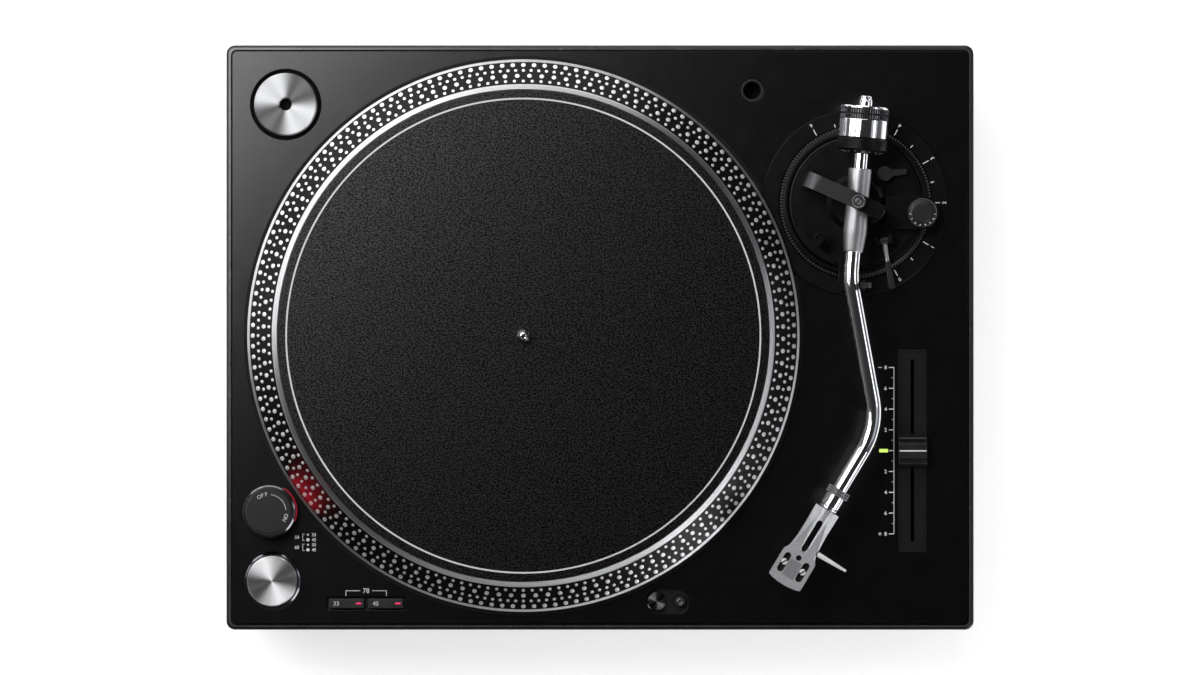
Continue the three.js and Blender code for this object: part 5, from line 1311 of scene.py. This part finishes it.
class TURNTABLE_OT_arm_rest(bpy.types.Operator):
    """Models the arm's rest, its clip, the lift and the lift's lever"""
    bl_idname = "turntable.arm_rest"
    bl_label = "Arm rest and lift"

    def execute(self, context):
        self.make_rest()
        self.make_lift()
        self.make_lever()
        return {"FINISHED"}

    def make_rest(self):
        arm = pivot("arm_yaw")
        top = bottom_of("antiskate_block")
        hinge = pivot("clip_swing")
        prong_width, depth, span, column = 2.6, 5.6, 15.8, 3.5
        cradle = arm.z - 5
        half = (span + prong_width) / 2
        outline = [
            (-column, 0), (column, 0), (column, cradle - top - 5.4), (half - 1, cradle - top - 3.4),
            (half, cradle - top - 2.2), (half, arm.z + 1.6 - top), (half - 0.6, arm.z + 2 - top),
            (half - prong_width + 0.4, arm.z + 1.6 - top), (half - prong_width, cradle - top + 1.6),
            (half - prong_width - 2, cradle - top), (-half + 0.4, cradle - top), (-half, cradle - top - 0.6),
            (-half, cradle - top - 2.2), (-half + 1, cradle - top - 3.4), (-column, cradle - top - 5.4),
        ]
        upright = about("X", 90)
        fork = moved(drawn(outline, -depth / 2, depth / 2), upright)
        knuckle = moved(rod(1.6, -4, 4, 24), at(half - 1.3, 0, hinge.z - top) @ upright)
        fork = softened(cut(fork, knuckle), 0.45, 2, 40)
        painted(fork, "rubbed_plastic", lambda middle, normal: middle.z > arm.z + 1.2 - top)
        foot_back = 34
        foot_length = arm.y - foot_back - (hinge.y - depth / 2)
        foot = softened(block(12, foot_length, 0, 3, (0, foot_length / 2 - depth / 2), 1.2), 0.5, 2, 40)
        settled(joined([fork, foot]), "rest_fork", "arm_base", "black_anodised", "arm_rest",
                at(hinge.x - span / 2, hinge.y, top))
        strap_inner, strap, rise = 5.6, 1.2, 2.2
        tube_offset = hinge.x - arm.x + 2.9
        sweep_start = degrees(atan2(rise, tube_offset))
        clip = moved(band(strap_inner, strap_inner + strap, sweep_start, 180, -1.6, 1.6, 28),
                     at(-tube_offset, -rise, 0))
        clip = softened(fused(clip, rod(1.3, -1.6, 1.6, 24)), 0.25, 2, 40)
        settled(clip, "rest_hook", "rest_clip", "moulded_plastic", "rest_clip",
                Matrix.Translation(hinge) @ upright @ about("Z", -90))

    def make_lift(self):
        arm = pivot("arm_yaw")
        low, high = corners("lift_cylinder")
        cylinder = turned([
            (2.3, low.z), (4.4, low.z), (4.4, high.z - 3), (4.1, high.z - 2.8), (4.1, high.z - 2.2),
            (4.4, high.z - 2), (4.4, high.z - 0.4), (4, high.z), (2.6, high.z), (2.3, high.z - 0.3),
        ], 48, ring=True)
        settled(cylinder, "lift_tube", "arm_base", "black_anodised", "lift_cylinder",
                standing(centre("lift_cylinder")))
        top = top_of("lift_rail")
        angle, span = 226, 46
        rail = band(36, 39.4, angle - span / 2, angle + span / 2, top - 2.6, top, 32)
        web = moved(block(7, 3.6, top - 2.6, top, (34, 0)), about("Z", angle))
        rail = softened(fused(rail, web), 0.5, 2, 40)
        stem = moved(turned([(1.9, bottom_of("lift_rail")), (1.9, top - 0.6), (1.4, top - 0.2)], 32),
                     about("Z", angle) @ at(31, 0, 0))
        settled(joined([rail, stem]), "lift_arm", "lift_rail", "matt_plastic", "lift_rail", standing(arm))

    def make_lever(self):
        cue = pivot("cue_turn")
        forward = Vector((*round_way(1, CUE_HEADING - 90), 0))
        across = about("Y", 90)
        hub = moved(turned([(2.3, -2.5), (2.6, -2.2), (2.6, 2.2), (2.3, 2.5)], 32), across)
        axle = moved(turned([(1, -5.3), (1.2, -5.1), (1.2, 5.1), (1, 5.3)], 24), across)
        shank = turned([(1.5, 0), (1.5, 4), (1.25, 9), (1.45, 12.6)], 24)
        paddle_start, paddle_end = 11, 29.4
        paddle = drawn([(-1.5, paddle_start), (1.5, paddle_start), (2.1, paddle_end - 1.4),
                        (1.7, paddle_end - 0.3), (1, paddle_end), (-1, paddle_end),
                        (-1.7, paddle_end - 0.3), (-2.1, paddle_end - 1.4)], -1, 1)
        paddle = softened(moved(paddle, about("X", 90)), 0.7, 3, 40)
        painted(shank, "bright_steel")
        settled(joined([hub, axle, shank, paddle]), "cue_handle", "cue_lever", "moulded_plastic", "cue_lever",
                lying(cue, forward))


# Tonearm
class TURNTABLE_OT_pivots(bpy.types.Operator):
    """Models the bridge over the arm's pivot, the turning frame and the pivot housing"""
    bl_idname = "turntable.pivots"
    bl_label = "Arm pivots"

    def execute(self, context):
        arm = pivot("arm_yaw")
        base = bottom_of("antiskate_block")
        self.make_bridge(arm, base)
        self.make_yoke(arm, base)
        self.make_housing(arm)
        return {"FINISHED"}

    def make_bridge(self, arm, base):
        top = top_of("pivot_bridge") - 1
        under, width = top - 3.4, 9.3
        outer, post, heading = 33.8, 4.6, 156
        side = [
            (0, under), (outer - 9, under), (outer - 6.4, under - 0.8), (outer - post, under - 2.6),
            (outer - post, base), (outer, base), (outer, top - 4.8), (outer - 0.3, top - 3.4),
            (outer - 1.2, top - 2.1), (outer - 2.8, top - 1.15), (outer - 4.8, top - 0.5),
            (outer - 6.8, top - 0.12), (outer - 9, top), (0, top),
        ]
        bar = moved(drawn(side, -width / 2, width / 2), about("X", 90))
        bar = softened(fused(bar, rod(width / 2, under, top, 48)), 0.5, 2, 40)
        bar = cut(bar, rod(4, top - 0.6, top + 2, 48))
        place = standing(arm, heading)
        settled(bar, "bridge_bar", "arm_base", "grey_anodised", "pivot_bridge", place)
        collar = cut(turned([(2.9, top - 0.6), (3.9, top - 0.6), (3.9, top + 0.15), (3.7, top + 0.4),
                             (3.1, top + 0.4), (2.9, top + 0.2)], 48, ring=True),
                     *[block(1.1, 1.1, top - 0.2, top + 1, round_way(3.4, angle)) for angle in (20, 200)])
        screw = moved(slotted_screw(2.1, 1.4, 0.6, 70), at(0, 0, top - 0.6))
        pin = rod(1.5, base + 38.2, top - 0.7, 24)
        settled(joined([collar, screw, pin]), "bridge_screw", "arm_base", "bright_steel", matrix=place)

    def make_yoke(self, arm, base):
        disc_low, disc_high = base + 6.4, base + 9.4
        top = top_of("arm_yoke")
        top_low = top - 2.7
        half, inner, width = 16.6, 9.8, 9.3
        disc = turned([(2, base + 1.4), (2, disc_low), (14.7, disc_low), (15, disc_low + 0.3),
                       (15, disc_high - 0.6), (14.5, disc_high)], 72)
        frame_block = block(2 * half, width, disc_low, top, corner=1.2, steps=3)
        opening = block(2 * inner, 2 * width, disc_high, top_low)
        bore = moved(rod(1.95, -13.2, 13.2, 24), at(0, 0, arm.z) @ about("Y", 90))
        socket = rod(1.9, top - 2.5, top + OVER, 24)
        body = softened(cut(frame_block, opening, bore, socket), 0.6, 2, 40)
        place = standing(arm, YOKE_HEADING)
        settled(joined([body, disc]), "pivot_frame", "yoke", "black_anodised", "arm_yoke", place)
        screws = [moved(slotted_screw(2.6, 0.9, 0.5, 30),
                        at(side * (half - 0.25), 0, arm.z) @ about("Y", 90 * side)) for side in (-1, 1)]
        settled(joined(screws), "pivot_screws", "yoke", "bright_steel", matrix=place)

    def make_housing(self, arm):
        place = lying(arm, -axis("weight_travel"))
        shell = turned([
            (4.5, -12), (4.5, -19.4), (4.8, -19.8), (6.2, -19.8), (6.6, -19.6), (6.8, -19.1), (6.85, -14),
            (6.6, -8), (6.55, 0), (6.7, 8), (6.95, 14), (7, 17.4), (6.85, 20), (6.3, 25.5), (5.85, 29.4),
            (5.7, 29.9), (5.4, 30.2), (5, 30.2), (5, 18),
        ], 64)
        settled(shell, "pivot_housing", "arm", "satin_aluminium", "arm_housing", place)
        axle = moved(rod(1.6, -12.6, 12.6, 24), about("Y", 90))
        settled(axle, "pitch_axle", "arm", "bright_steel", matrix=standing(arm, YOKE_HEADING, arm.z))


class TURNTABLE_OT_tube(bpy.types.Operator):
    """Models the S-shaped tube"""
    bl_idname = "turntable.tube"
    bl_label = "Arm tube"

    def execute(self, context):
        arm = pivot("arm_yaw")
        rearward = axis("weight_travel")
        forward = axis("collar_turn")
        rear_heading = degrees(atan2(-rearward.x, rearward.y))
        front_heading = degrees(atan2(forward.x, -forward.y))
        middle_heading = 10.3
        start, first, spacing, last = 18, 46.6, 89.3, 49.3
        tube_radius, steps = 4.7, 24

        def ahead(heading, distance):
            return Vector((*round_way(distance, heading - 90), 0))

        first_corner = arm + ahead(rear_heading, first)
        second_corner = first_corner + ahead(middle_heading, spacing)
        points = [arm + ahead(rear_heading, start)]
        for corner, before, after, radius in (
            (first_corner, rear_heading, middle_heading, 55),
            (second_corner, middle_heading, front_heading, 45),
        ):
            tangent = abs(radius * tan(radians(after - before) / 2))
            side = 1 if after > before else -1
            entry = corner - ahead(before, tangent)
            middle = entry + ahead(before + 90 * side, radius)
            for i in range(steps + 1):
                heading = before + (after - before) * i / steps
                points.append(middle - ahead(heading + 90 * side, radius))
        points.append(second_corner + ahead(front_heading, last))
        settled(tube(points, tube_radius), "arm_pipe", "arm", "chromium_plate", "arm_tube", smooth=60)
        return {"FINISHED"}


def tube(points, radius):
    """A round tube along points, made from a curve and turned into a mesh."""
    curve = bpy.data.curves.new("path", "CURVE")
    curve.dimensions = "3D"
    curve.bevel_depth = radius
    curve.bevel_resolution = 10
    curve.use_fill_caps = True
    spline = curve.splines.new("POLY")
    spline.points.add(len(points) - 1)
    for target, point in zip(spline.points, points):
        target.co = (*point, 1)
    piece = bpy.data.objects.new("path", curve)
    bpy.context.scene.collection.objects.link(piece)
    choose(piece)
    bpy.ops.object.convert(target="MESH")
    bpy.ops.object.mode_set(mode="EDIT")
    return mended()


class TURNTABLE_OT_weight(bpy.types.Operator):
    """Models the rear stub, the counterweight with its grip, its core and the force dial"""
    bl_idname = "turntable.weight"
    bl_label = "Counterweight"

    def execute(self, context):
        s = sizes()
        place = lying(pivot("arm_yaw"), axis("weight_travel"))
        stub = turned([
            (4.2, 12.3), (4.2, 59.4), (4.05, 59.7), (4.05, 60.1), (4.2, 60.4), (4.2, 61), (3.6, 61.4),
            (3.5, 62.9), (3.2, 63.2), (1.2, 63.2), (1.1, 62.2),
        ], 48)
        settled(stub, "rear_pipe", "arm", "chromium_plate", "rear_stub", place)
        core = turned([(4.5, 29.6), (6.7, 29.6), (7, 29.9), (7, 49.7), (6.7, 50), (4.5, 50)], 48, ring=True)
        settled(core, "weight_sleeve", "weight_core", "moulded_plastic", "weight_core", place)
        self.make_weight(s, place)
        self.make_dial(place)
        return {"FINISHED"}

    def make_weight(self, s, place):
        bore, radius, grip = 7.3, 14.7, 13.9
        body = turned([
            (bore, 38), (radius - 0.4, 38), (radius, 38.4), (radius, 48.6), (radius - 0.15, 48.9),
            (grip, 49.1), (grip, 51.9), (grip - 0.5, 52.1), (grip - 0.5, 52.4), (grip, 52.6), (grip, 55.3),
            (radius - 0.2, 55.5), (radius, 55.7), (radius, 56.4), (radius - 0.3, 56.9), (radius - 1.2, 57.2),
            (11.5, 57.2), (11, 56.6), (bore + 0.6, 56.6), (bore, 56.9),
        ], 144, ring=True)
        # The grip's body between the teeth is painted near-black, as painted shade.
        painted(body, "cut_groove", lambda middle, normal: 49.05 < middle.z < 55.4 and off_axis(middle) > 13)
        rows = [toothed(grip, low, high, s.weight_tooth, 0.65, 60)
                for low, high in ((49.3, 51.8), (52.7, 55.2))]
        # The teeth take a darker chrome than the weight, as painted shade among them.
        for row in rows:
            painted(row, "grip_chromium")
        settled(joined([body] + rows), "balance_weight", "counterweight", "chromium_plate", "counterweight",
                place)

    def make_dial(self, place):
        dial = turned([
            (7.3, 28.8), (8.6, 28.8), (9, 29), (12.6, 30.1), (14.4, 30.8), (14.9, 31.3), (14.9, 37.2),
            (14.4, 37.7), (7.3, 37.7),
        ], 120, ring=True)
        teeth = toothed(14.75, 33.4, 37, 0.8, 0.28, 72)
        settled(joined([dial, teeth]), "force_dial", "weight_dial", "matt_plastic", "weight_dial", place)
        marks = []
        lean, count = 17, 16
        slope = at(11.6, 0, 29.75) @ about("Y", -lean)
        flipped = at(9.6, 0, 29.1) @ about("Y", 180 - lean)
        for i in range(count):
            turn = about("Z", 360 / count * i)
            marks.append(moved(block(1 if i % 2 else 1.6, 0.35, -0.06, 0.06), turn @ slope))
            if i % 4 == 0:
                marks.append(moved(letters(str(i // 4), 1.5, (0, 0), 0, 90), turn @ flipped))
        settled(joined(marks), "force_marks", "weight_dial", "screen_print", matrix=place)


class TURNTABLE_OT_head(bpy.types.Operator):
    """Models the collar, the headshell, the cartridge and the finger lift"""
    bl_idname = "turntable.head"
    bl_label = "Headshell"

    def execute(self, context):
        place = lying(pivot("collar_turn"), axis("collar_turn"))
        self.make_collar(place)
        self.make_shell(place)
        self.make_cartridge(place)
        self.make_finger(place)
        return {"FINISHED"}

    def make_collar(self, place):
        rear, front, grip = -14.4, -2.4, 6.65
        body = turned([
            (5.1, rear), (grip - 0.2, rear), (grip, rear + 0.2), (grip, rear + 4.5), (6, rear + 4.8),
            (5.95, front - 0.3), (5.7, front), (5.1, front),
        ], 72, ring=True)
        # The collar's body under the knurl is painted near-black, as painted shade.
        painted(body, "cut_groove", lambda middle, normal: middle.z < rear + 4.6 and off_axis(middle) > 6.2)
        rings = [toothed(grip, rear + low, rear + low + 1.1, 0.7, 0.32, 36, start=5 * i)
                 for i, low in enumerate((0.15, 1.7, 3.25))]
        # The knurl's teeth take a satin grey, darker than the chrome, as painted shade among them.
        for row in rings:
            painted(row, "satin_grip")
        settled(joined([body] + rings), "lock_collar", "collar", "chromium_plate", "collar", place)

    def outline(self):
        side = [
            (7.8, 0), (7.75, 4), (7.65, 9), (7.6, 13), (7.65, 17), (7.8, 21), (8.1, 25), (8.6, 28.3),
            (9.6, 30.6), (10.6, 32.2), (10.8, 33.6), (10.8, 49), (10.5, 50.2), (8, 51), (4, 51.6),
        ]
        return side + [(0, 51.8)] + [(-x, y) for x, y in reversed(side)]

    def make_shell(self, place):
        top, bottom, patch = 2.6, -1.4, 2.45
        slot_length, slot_width, slot_middle, screw_x = 21.2, 3.6, 18.05, 6.35
        flat = about("X", 90)
        body = moved(drawn(self.outline(), -top, -bottom), flat)
        hump = turned([(5.35, 0.02), (5.3, 3), (4.9, 9), (4.4, 16), (3.9, 23), (3.2, 28.5), (2.2, 30)], 48)
        body = fused(body, cut(hump, block(20, 20, -1, 40, (0, bottom - 10))))
        tools = [
            moved(stadium(slot_length, slot_width, -top - 4, -bottom + 4, steps=12),
                  flat @ at(0, slot_middle, 0) @ about("Z", 90)),
            moved(block(7.4, 11, -top - OVER, -patch, (0, 41.2), 0.4), flat),
            moved(rod(1.7, -top - OVER, -bottom + OVER, 32), flat @ at(0, 33.4, 0)),
        ]
        for side in (-1, 1):
            tools.append(moved(stadium(12.7, 4.1, -top - OVER, -bottom + OVER, steps=12),
                               flat @ at(side * screw_x, 39.7, 0) @ about("Z", 90)))
        chamfers = []
        for side, slope in ((-1, 11), (1, 30)):
            wedge = drawn([(side * 9.6, -1.5), (side * 5.2, -1.5), (side * 2.4, 3), (side * 4.6, 11),
                           (side * 6.4, 20), (side * 7.5, 30), (side * 12, 30)], 0, 6)
            tilted = at(side * 4.2, top - 0.05, 0) @ about("Z", -side * slope)
            chamfers.append(moved(wedge, tilted @ flat @ at(side * -4.2, 0, -6)))
        body = softened(cut(body, *tools, *chamfers), 0.35, 2, 35)
        painted(body, "milled_aluminium", lambda middle, normal: abs(middle.y - patch) < 0.02)
        neck = turned([(4.2, -7.4), (4.2, -1.8), (5.7, -1.8), (5.9, -1.6), (5.9, -0.9), (5.7, -0.7),
                       (4.2, -0.7), (4.2, 5.4)], 48)
        painted(neck, "chromium_plate")
        settled(joined([body, neck]), "head_plate", "headshell", "blasted_aluminium", "headshell", place)
        gaskets = [turned([(4.3, low), (5.5, low), (5.5, high), (4.3, high)], 48, ring=True)
                   for low, high in ((-2.3, -1.85), (-0.65, -0.03))]
        settled(joined(gaskets), "head_gasket", "headshell", "moulded_rubber", matrix=place)
        screws = []
        for side in (-1, 1):
            spot = at(side * screw_x, 1.5, 39.5) @ about("X", -90)
            screws += [moved(slotted_screw(1.95, 1.3, 0.8, 60), spot), moved(rod(1.1, -3, 0.4, 16), spot)]
        settled(joined(screws), "head_screws", "headshell", "white_zinc", matrix=place)

    def make_cartridge(self, place):
        top, bottom = -1.4, -12.4
        side = [(24, top), (51, top), (51, bottom + 5), (46, bottom), (30, bottom), (24, bottom + 6)]
        body = moved(drawn([(y, x) for x, y in side], -8.4, 8.4), about("Y", 90) @ about("Z", 90))
        body = softened(body, 0.7, 2, 35)
        holder = softened(moved(block(6, 3.4, 34.2, 50.2, corner=0.5), at(0, bottom, 0)), 0.3, 2, 50)
        tip = moved(turned([(0.28, 0), (0.5, 1.2), (0.9, 5.4)], 20), at(0, -17.8, 48.7) @ about("X", -90))
        settled(joined([body, holder]), "pickup", "headshell", "moulded_plastic", "cartridge", place)
        settled(tip, "stylus", "headshell", "bright_steel", matrix=place)

    def make_finger(self, place):
        start, length, rise = 8.6, 19.6, 2
        bend = degrees(atan2(rise, length))
        shaft = turned([(1.55, 0), (1.5, 2), (0.85, length - 2.2), (0.65, length - 1.5), (0.8, length - 1.2),
                        (0.85, length - 0.7), (0.75, length - 0.2), (0.45, length)], 24)
        settled(shaft, "finger_pin", "headshell", "satin_nickel", "finger_lift",
                place @ at(start, 0.6, 25.6) @ about("Z", bend) @ about("Y", 90))


# Back and inside
class TURNTABLE_OT_sockets(bpy.types.Operator):
    """Models the sockets at the back, and finishes what is inside the case"""
    bl_idname = "turntable.sockets"
    bl_label = "Sockets"

    def execute(self, context):
        low, middle, wall = corners("audio_sockets")[0], centre("audio_sockets"), 1.6
        tray = self.hollow("audio_sockets", wall, 0.5, 0.8)
        settled(softened(tray, 0.25, 1, 50), "socket_tray", "case", "moulded_plastic", "audio_sockets")
        back = about("X", -90)
        for x, name, insulator in ((-19, "white", "white_insulator"), (-1, "red_i", "red_insulator")):
            spot = at(middle.x + x, low.y + wall, middle.z) @ back
            shell = turned([(3.6, -0.4), (6.2, -0.4), (6.2, 1.2), (4.7, 1.4), (4.2, 1.8), (4.2, 8.7),
                            (3.9, 9), (3.5, 9), (3.3, 8.7)], 48, ring=True)
            settled(shell, f"jack_shell_{name}", "case", "nickel_plate", matrix=spot)
            core = turned([(3.5, -0.4), (3.5, 8.2), (1.9, 8.2), (1.7, 8), (1.7, 4)], 32)
            settled(core, f"jack_core_{name}", "case", insulator, matrix=spot)
        ground = centre("ground_post")
        post = turned([(2, -0.6), (2, 1), (4, 1.2), (4, 6.6), (3.6, 7.2), (1.6, 7.4), (1.6, 8)], 40)
        teeth = toothed(3.95, 1.6, 6.4, 0.6, 0.3, 24)
        settled(joined([post, teeth]), "ground_screw", "case", "nickel_plate", "ground_post",
                at(ground.x, corners("ground_post")[0].y, ground.z) @ back)
        self.make_inlet(back)
        dressed("control_board", "circuit_board")
        dressed("power_supply", "circuit_board")
        return {"FINISHED"}

    def hollow(self, solid, wall, corner, inner_corner):
        """A box as large as a solid, with walls and an open back."""
        low, high = corners(solid)
        width, depth, middle = high.x - low.x, high.y - low.y, centre(solid)
        inside = block(width - 2 * wall, depth, low.z + wall, high.z - wall, (middle.x, middle.y + wall),
                       inner_corner)
        return cut(block(width, depth, low.z, high.z, middle, corner), inside)

    def make_inlet(self, back):
        low, middle, wall = corners("mains_inlet")[0], centre("mains_inlet"), 2
        body = self.hollow("mains_inlet", wall, 1.5, 1.5)
        settled(softened(body, 0.3, 1, 50), "inlet_shell", "case", "moulded_plastic", "mains_inlet")
        pins = [moved(turned([(1.3, -0.4), (1.3, 7.8), (0.9, 8.8)], 24),
                      at(middle.x + side * 4.5, low.y + wall, middle.z) @ back)
                for side in (-1, 1)]
        settled(joined(pins), "inlet_pins", "case", "nickel_plate")


# Stage
class TURNTABLE_OT_stage(bpy.types.Operator):
    """Sets the pale floor, the soft lamps, the sky and the camera straight above"""
    bl_idname = "turntable.stage"
    bl_label = "Stage"

    def execute(self, context):
        scene = context.scene
        studio = scene.turntable_studio
        scene.view_settings.view_transform = "Standard"
        self.make_floor()
        self.make_sky(scene, studio)
        for name, place, azimuth, tilt, spread, shade in (
            ("corner", (-0.375, 0.375, 1.29), 135, 0, (0.46, 0.62), (1, 1, 1)),
            ("west", (-0.95, 0.2, 0.85), 180, 45, (0.7, 0.5), (1, 1, 1)),
            ("north", (-0.15, 1.05, 0.8), 90, 50, (0.9, 1.2), (1, 1, 1)),
            ("north_west", (-0.85, 0.85, 0.6), 135, 60, (0.6, 0.6), (1, 1, 1)),
            ("east", (0.95, 0, 0.8), 0, 48, (0.55, 0.8), (0.85, 0.87, 1)),
            ("strip", (0.76, 0.09, 0.63), 8, 50, (0.12, 0.2), (1, 1, 1)),
            ("south_east", (0.8, -0.8, 0.65), 315, 60, (0.4, 0.6), (0.97, 0.97, 1)),
            ("top", (0, 0, 2.6), 0, 0, (2.4, 2.4), (1, 1, 1)),
            ("strobe", (-0.1838, -0.0975, 0.1015), 36, -92, (0.003, 0.026), (1, 0.02, 0.05)),
        ):
            self.make_lamp(name, getattr(studio, f"{name}_light"), place, azimuth, tilt, spread, shade)
        for name in ("top", "strobe"):
            bpy.data.objects[name].visible_glossy = False
        bpy.data.lights["strobe"].spread = radians(100)
        self.make_camera(scene, studio)
        return {"FINISHED"}

    def make_floor(self):
        deselect()
        bpy.ops.mesh.primitive_plane_add(size=12, location=(0, 0, -0.0002))
        floor = bpy.context.object
        floor.name = "floor"
        tree = opened("pale_floor")[0]
        path = node(tree, "ShaderNodeLightPath")
        seen = node(tree, "ShaderNodeMath", {"operation": "MAXIMUM"},
                    {0: path.outputs["Is Camera Ray"], 1: path.outputs["Is Glossy Ray"]})
        seen = node(tree, "ShaderNodeMath", {"operation": "MAXIMUM"},
                    {0: seen.outputs[0], 1: path.outputs["Is Transmission Ray"]})
        lift = node(tree, "ShaderNodeMath", {"operation": "MULTIPLY"}, {0: seen.outputs[0], 1: 0.55})
        paint = node(tree, "ShaderNodeBsdfDiffuse", {}, {"Color": colour("#f4f4f4")})
        shine = node(tree, "ShaderNodeEmission", {}, {"Color": (1, 1, 1, 1), "Strength": lift.outputs[0]})
        both = node(tree, "ShaderNodeAddShader", {}, {0: paint.outputs[0], 1: shine.outputs[0]})
        node(tree, "ShaderNodeOutputMaterial", {}, {"Surface": both.outputs[0]})
        floor.data.materials.append(bpy.data.materials["pale_floor"])

    def make_sky(self, scene, studio):
        world = bpy.data.worlds.new("studio_sky")
        scene.world = world
        world.use_nodes = True
        tree = world.node_tree
        tree.nodes.clear()
        where = node(tree, "ShaderNodeTexCoord").outputs["Generated"]
        parts = node(tree, "ShaderNodeSeparateXYZ", {}, {0: where})
        low = node(tree, "ShaderNodeMath", {"operation": "SUBTRACT", "use_clamp": True},
                   {0: 1.0, 1: parts.outputs["Z"]})
        eased = node(tree, "ShaderNodeMath", {"operation": "POWER"}, {0: low.outputs[0], 1: 1.6})
        level = node(tree, "ShaderNodeMath", {"operation": "MULTIPLY_ADD"},
                     {0: eased.outputs[0], 1: studio.sky, 2: 0.03})
        sky = node(tree, "ShaderNodeBackground", {}, {"Color": (1, 1, 1, 1), "Strength": level.outputs[0]})
        node(tree, "ShaderNodeOutputWorld", {}, {"Surface": sky.outputs[0]})

    def make_lamp(self, name, brightness, place, azimuth, tilt, spread, shade):
        """A soft lamp that faces down, or inwards by a tilt, and outwards if the tilt is negative."""
        light = bpy.data.lights.new(name, "AREA")
        light.shape = "RECTANGLE"
        light.size, light.size_y = spread
        light.energy = brightness * pi * spread[0] * spread[1]
        light.color = shade
        lamp = bpy.data.objects.new(name, light)
        bpy.context.scene.collection.objects.link(lamp)
        lamp.rotation_euler = (0, radians(tilt), radians(azimuth))
        lamp.location = place

    def make_camera(self, scene, studio):
        deck = top_of("deck_plate") * MM
        view = bpy.data.cameras.new("photograph")
        view.sensor_width = 36
        view.lens = view.sensor_width * studio.camera_height / studio.frame_width
        view.clip_end = 50
        camera = bpy.data.objects.new("photograph", view)
        scene.collection.objects.link(camera)
        camera.location = (0, 0, deck + studio.camera_height)
        scene.camera = camera


OPERATORS = (
    TURNTABLE_OT_finishes, TURNTABLE_OT_case, TURNTABLE_OT_platter, TURNTABLE_OT_adapter,
    TURNTABLE_OT_power, TURNTABLE_OT_start, TURNTABLE_OT_speed, TURNTABLE_OT_legend, TURNTABLE_OT_fader,
    TURNTABLE_OT_arm_height, TURNTABLE_OT_arm_base, TURNTABLE_OT_arm_rest, TURNTABLE_OT_pivots,
    TURNTABLE_OT_tube, TURNTABLE_OT_weight, TURNTABLE_OT_head, TURNTABLE_OT_sockets, TURNTABLE_OT_stage,
)


class TURNTABLE_PT_panel(bpy.types.Panel):
    """Lists the turntable's operators and properties"""
    bl_idname = "TURNTABLE_PT_panel"
    bl_label = "Turntable"
    bl_space_type = "VIEW_3D"
    bl_region_type = "UI"
    bl_category = "Turntable"

    def draw(self, context):
        for operator in OPERATORS:
            self.layout.operator(operator.bl_idname)
        for group in ("turntable_sizes", "turntable_colours", "turntable_studio"):
            values = getattr(context.scene, group)
            for name in values.__annotations__:
                self.layout.prop(values, name)


CLASSES = (TurntableSizes, TurntableColours, TurntableStudio, *OPERATORS, TURNTABLE_PT_panel)


def register():
    for cls in CLASSES:
        bpy.utils.register_class(cls)
    bpy.types.Scene.turntable_sizes = PointerProperty(type=TurntableSizes)
    bpy.types.Scene.turntable_colours = PointerProperty(type=TurntableColours)
    bpy.types.Scene.turntable_studio = PointerProperty(type=TurntableStudio)


def unregister():
    del bpy.types.Scene.turntable_studio
    del bpy.types.Scene.turntable_colours
    del bpy.types.Scene.turntable_sizes
    for cls in reversed(CLASSES):
        bpy.utils.unregister_class(cls)


def main():
    register()
    for operator in OPERATORS:
        group, name = operator.bl_idname.split(".")
        getattr(getattr(bpy.ops, group), name)()


if __name__ == "__main__":
    main()
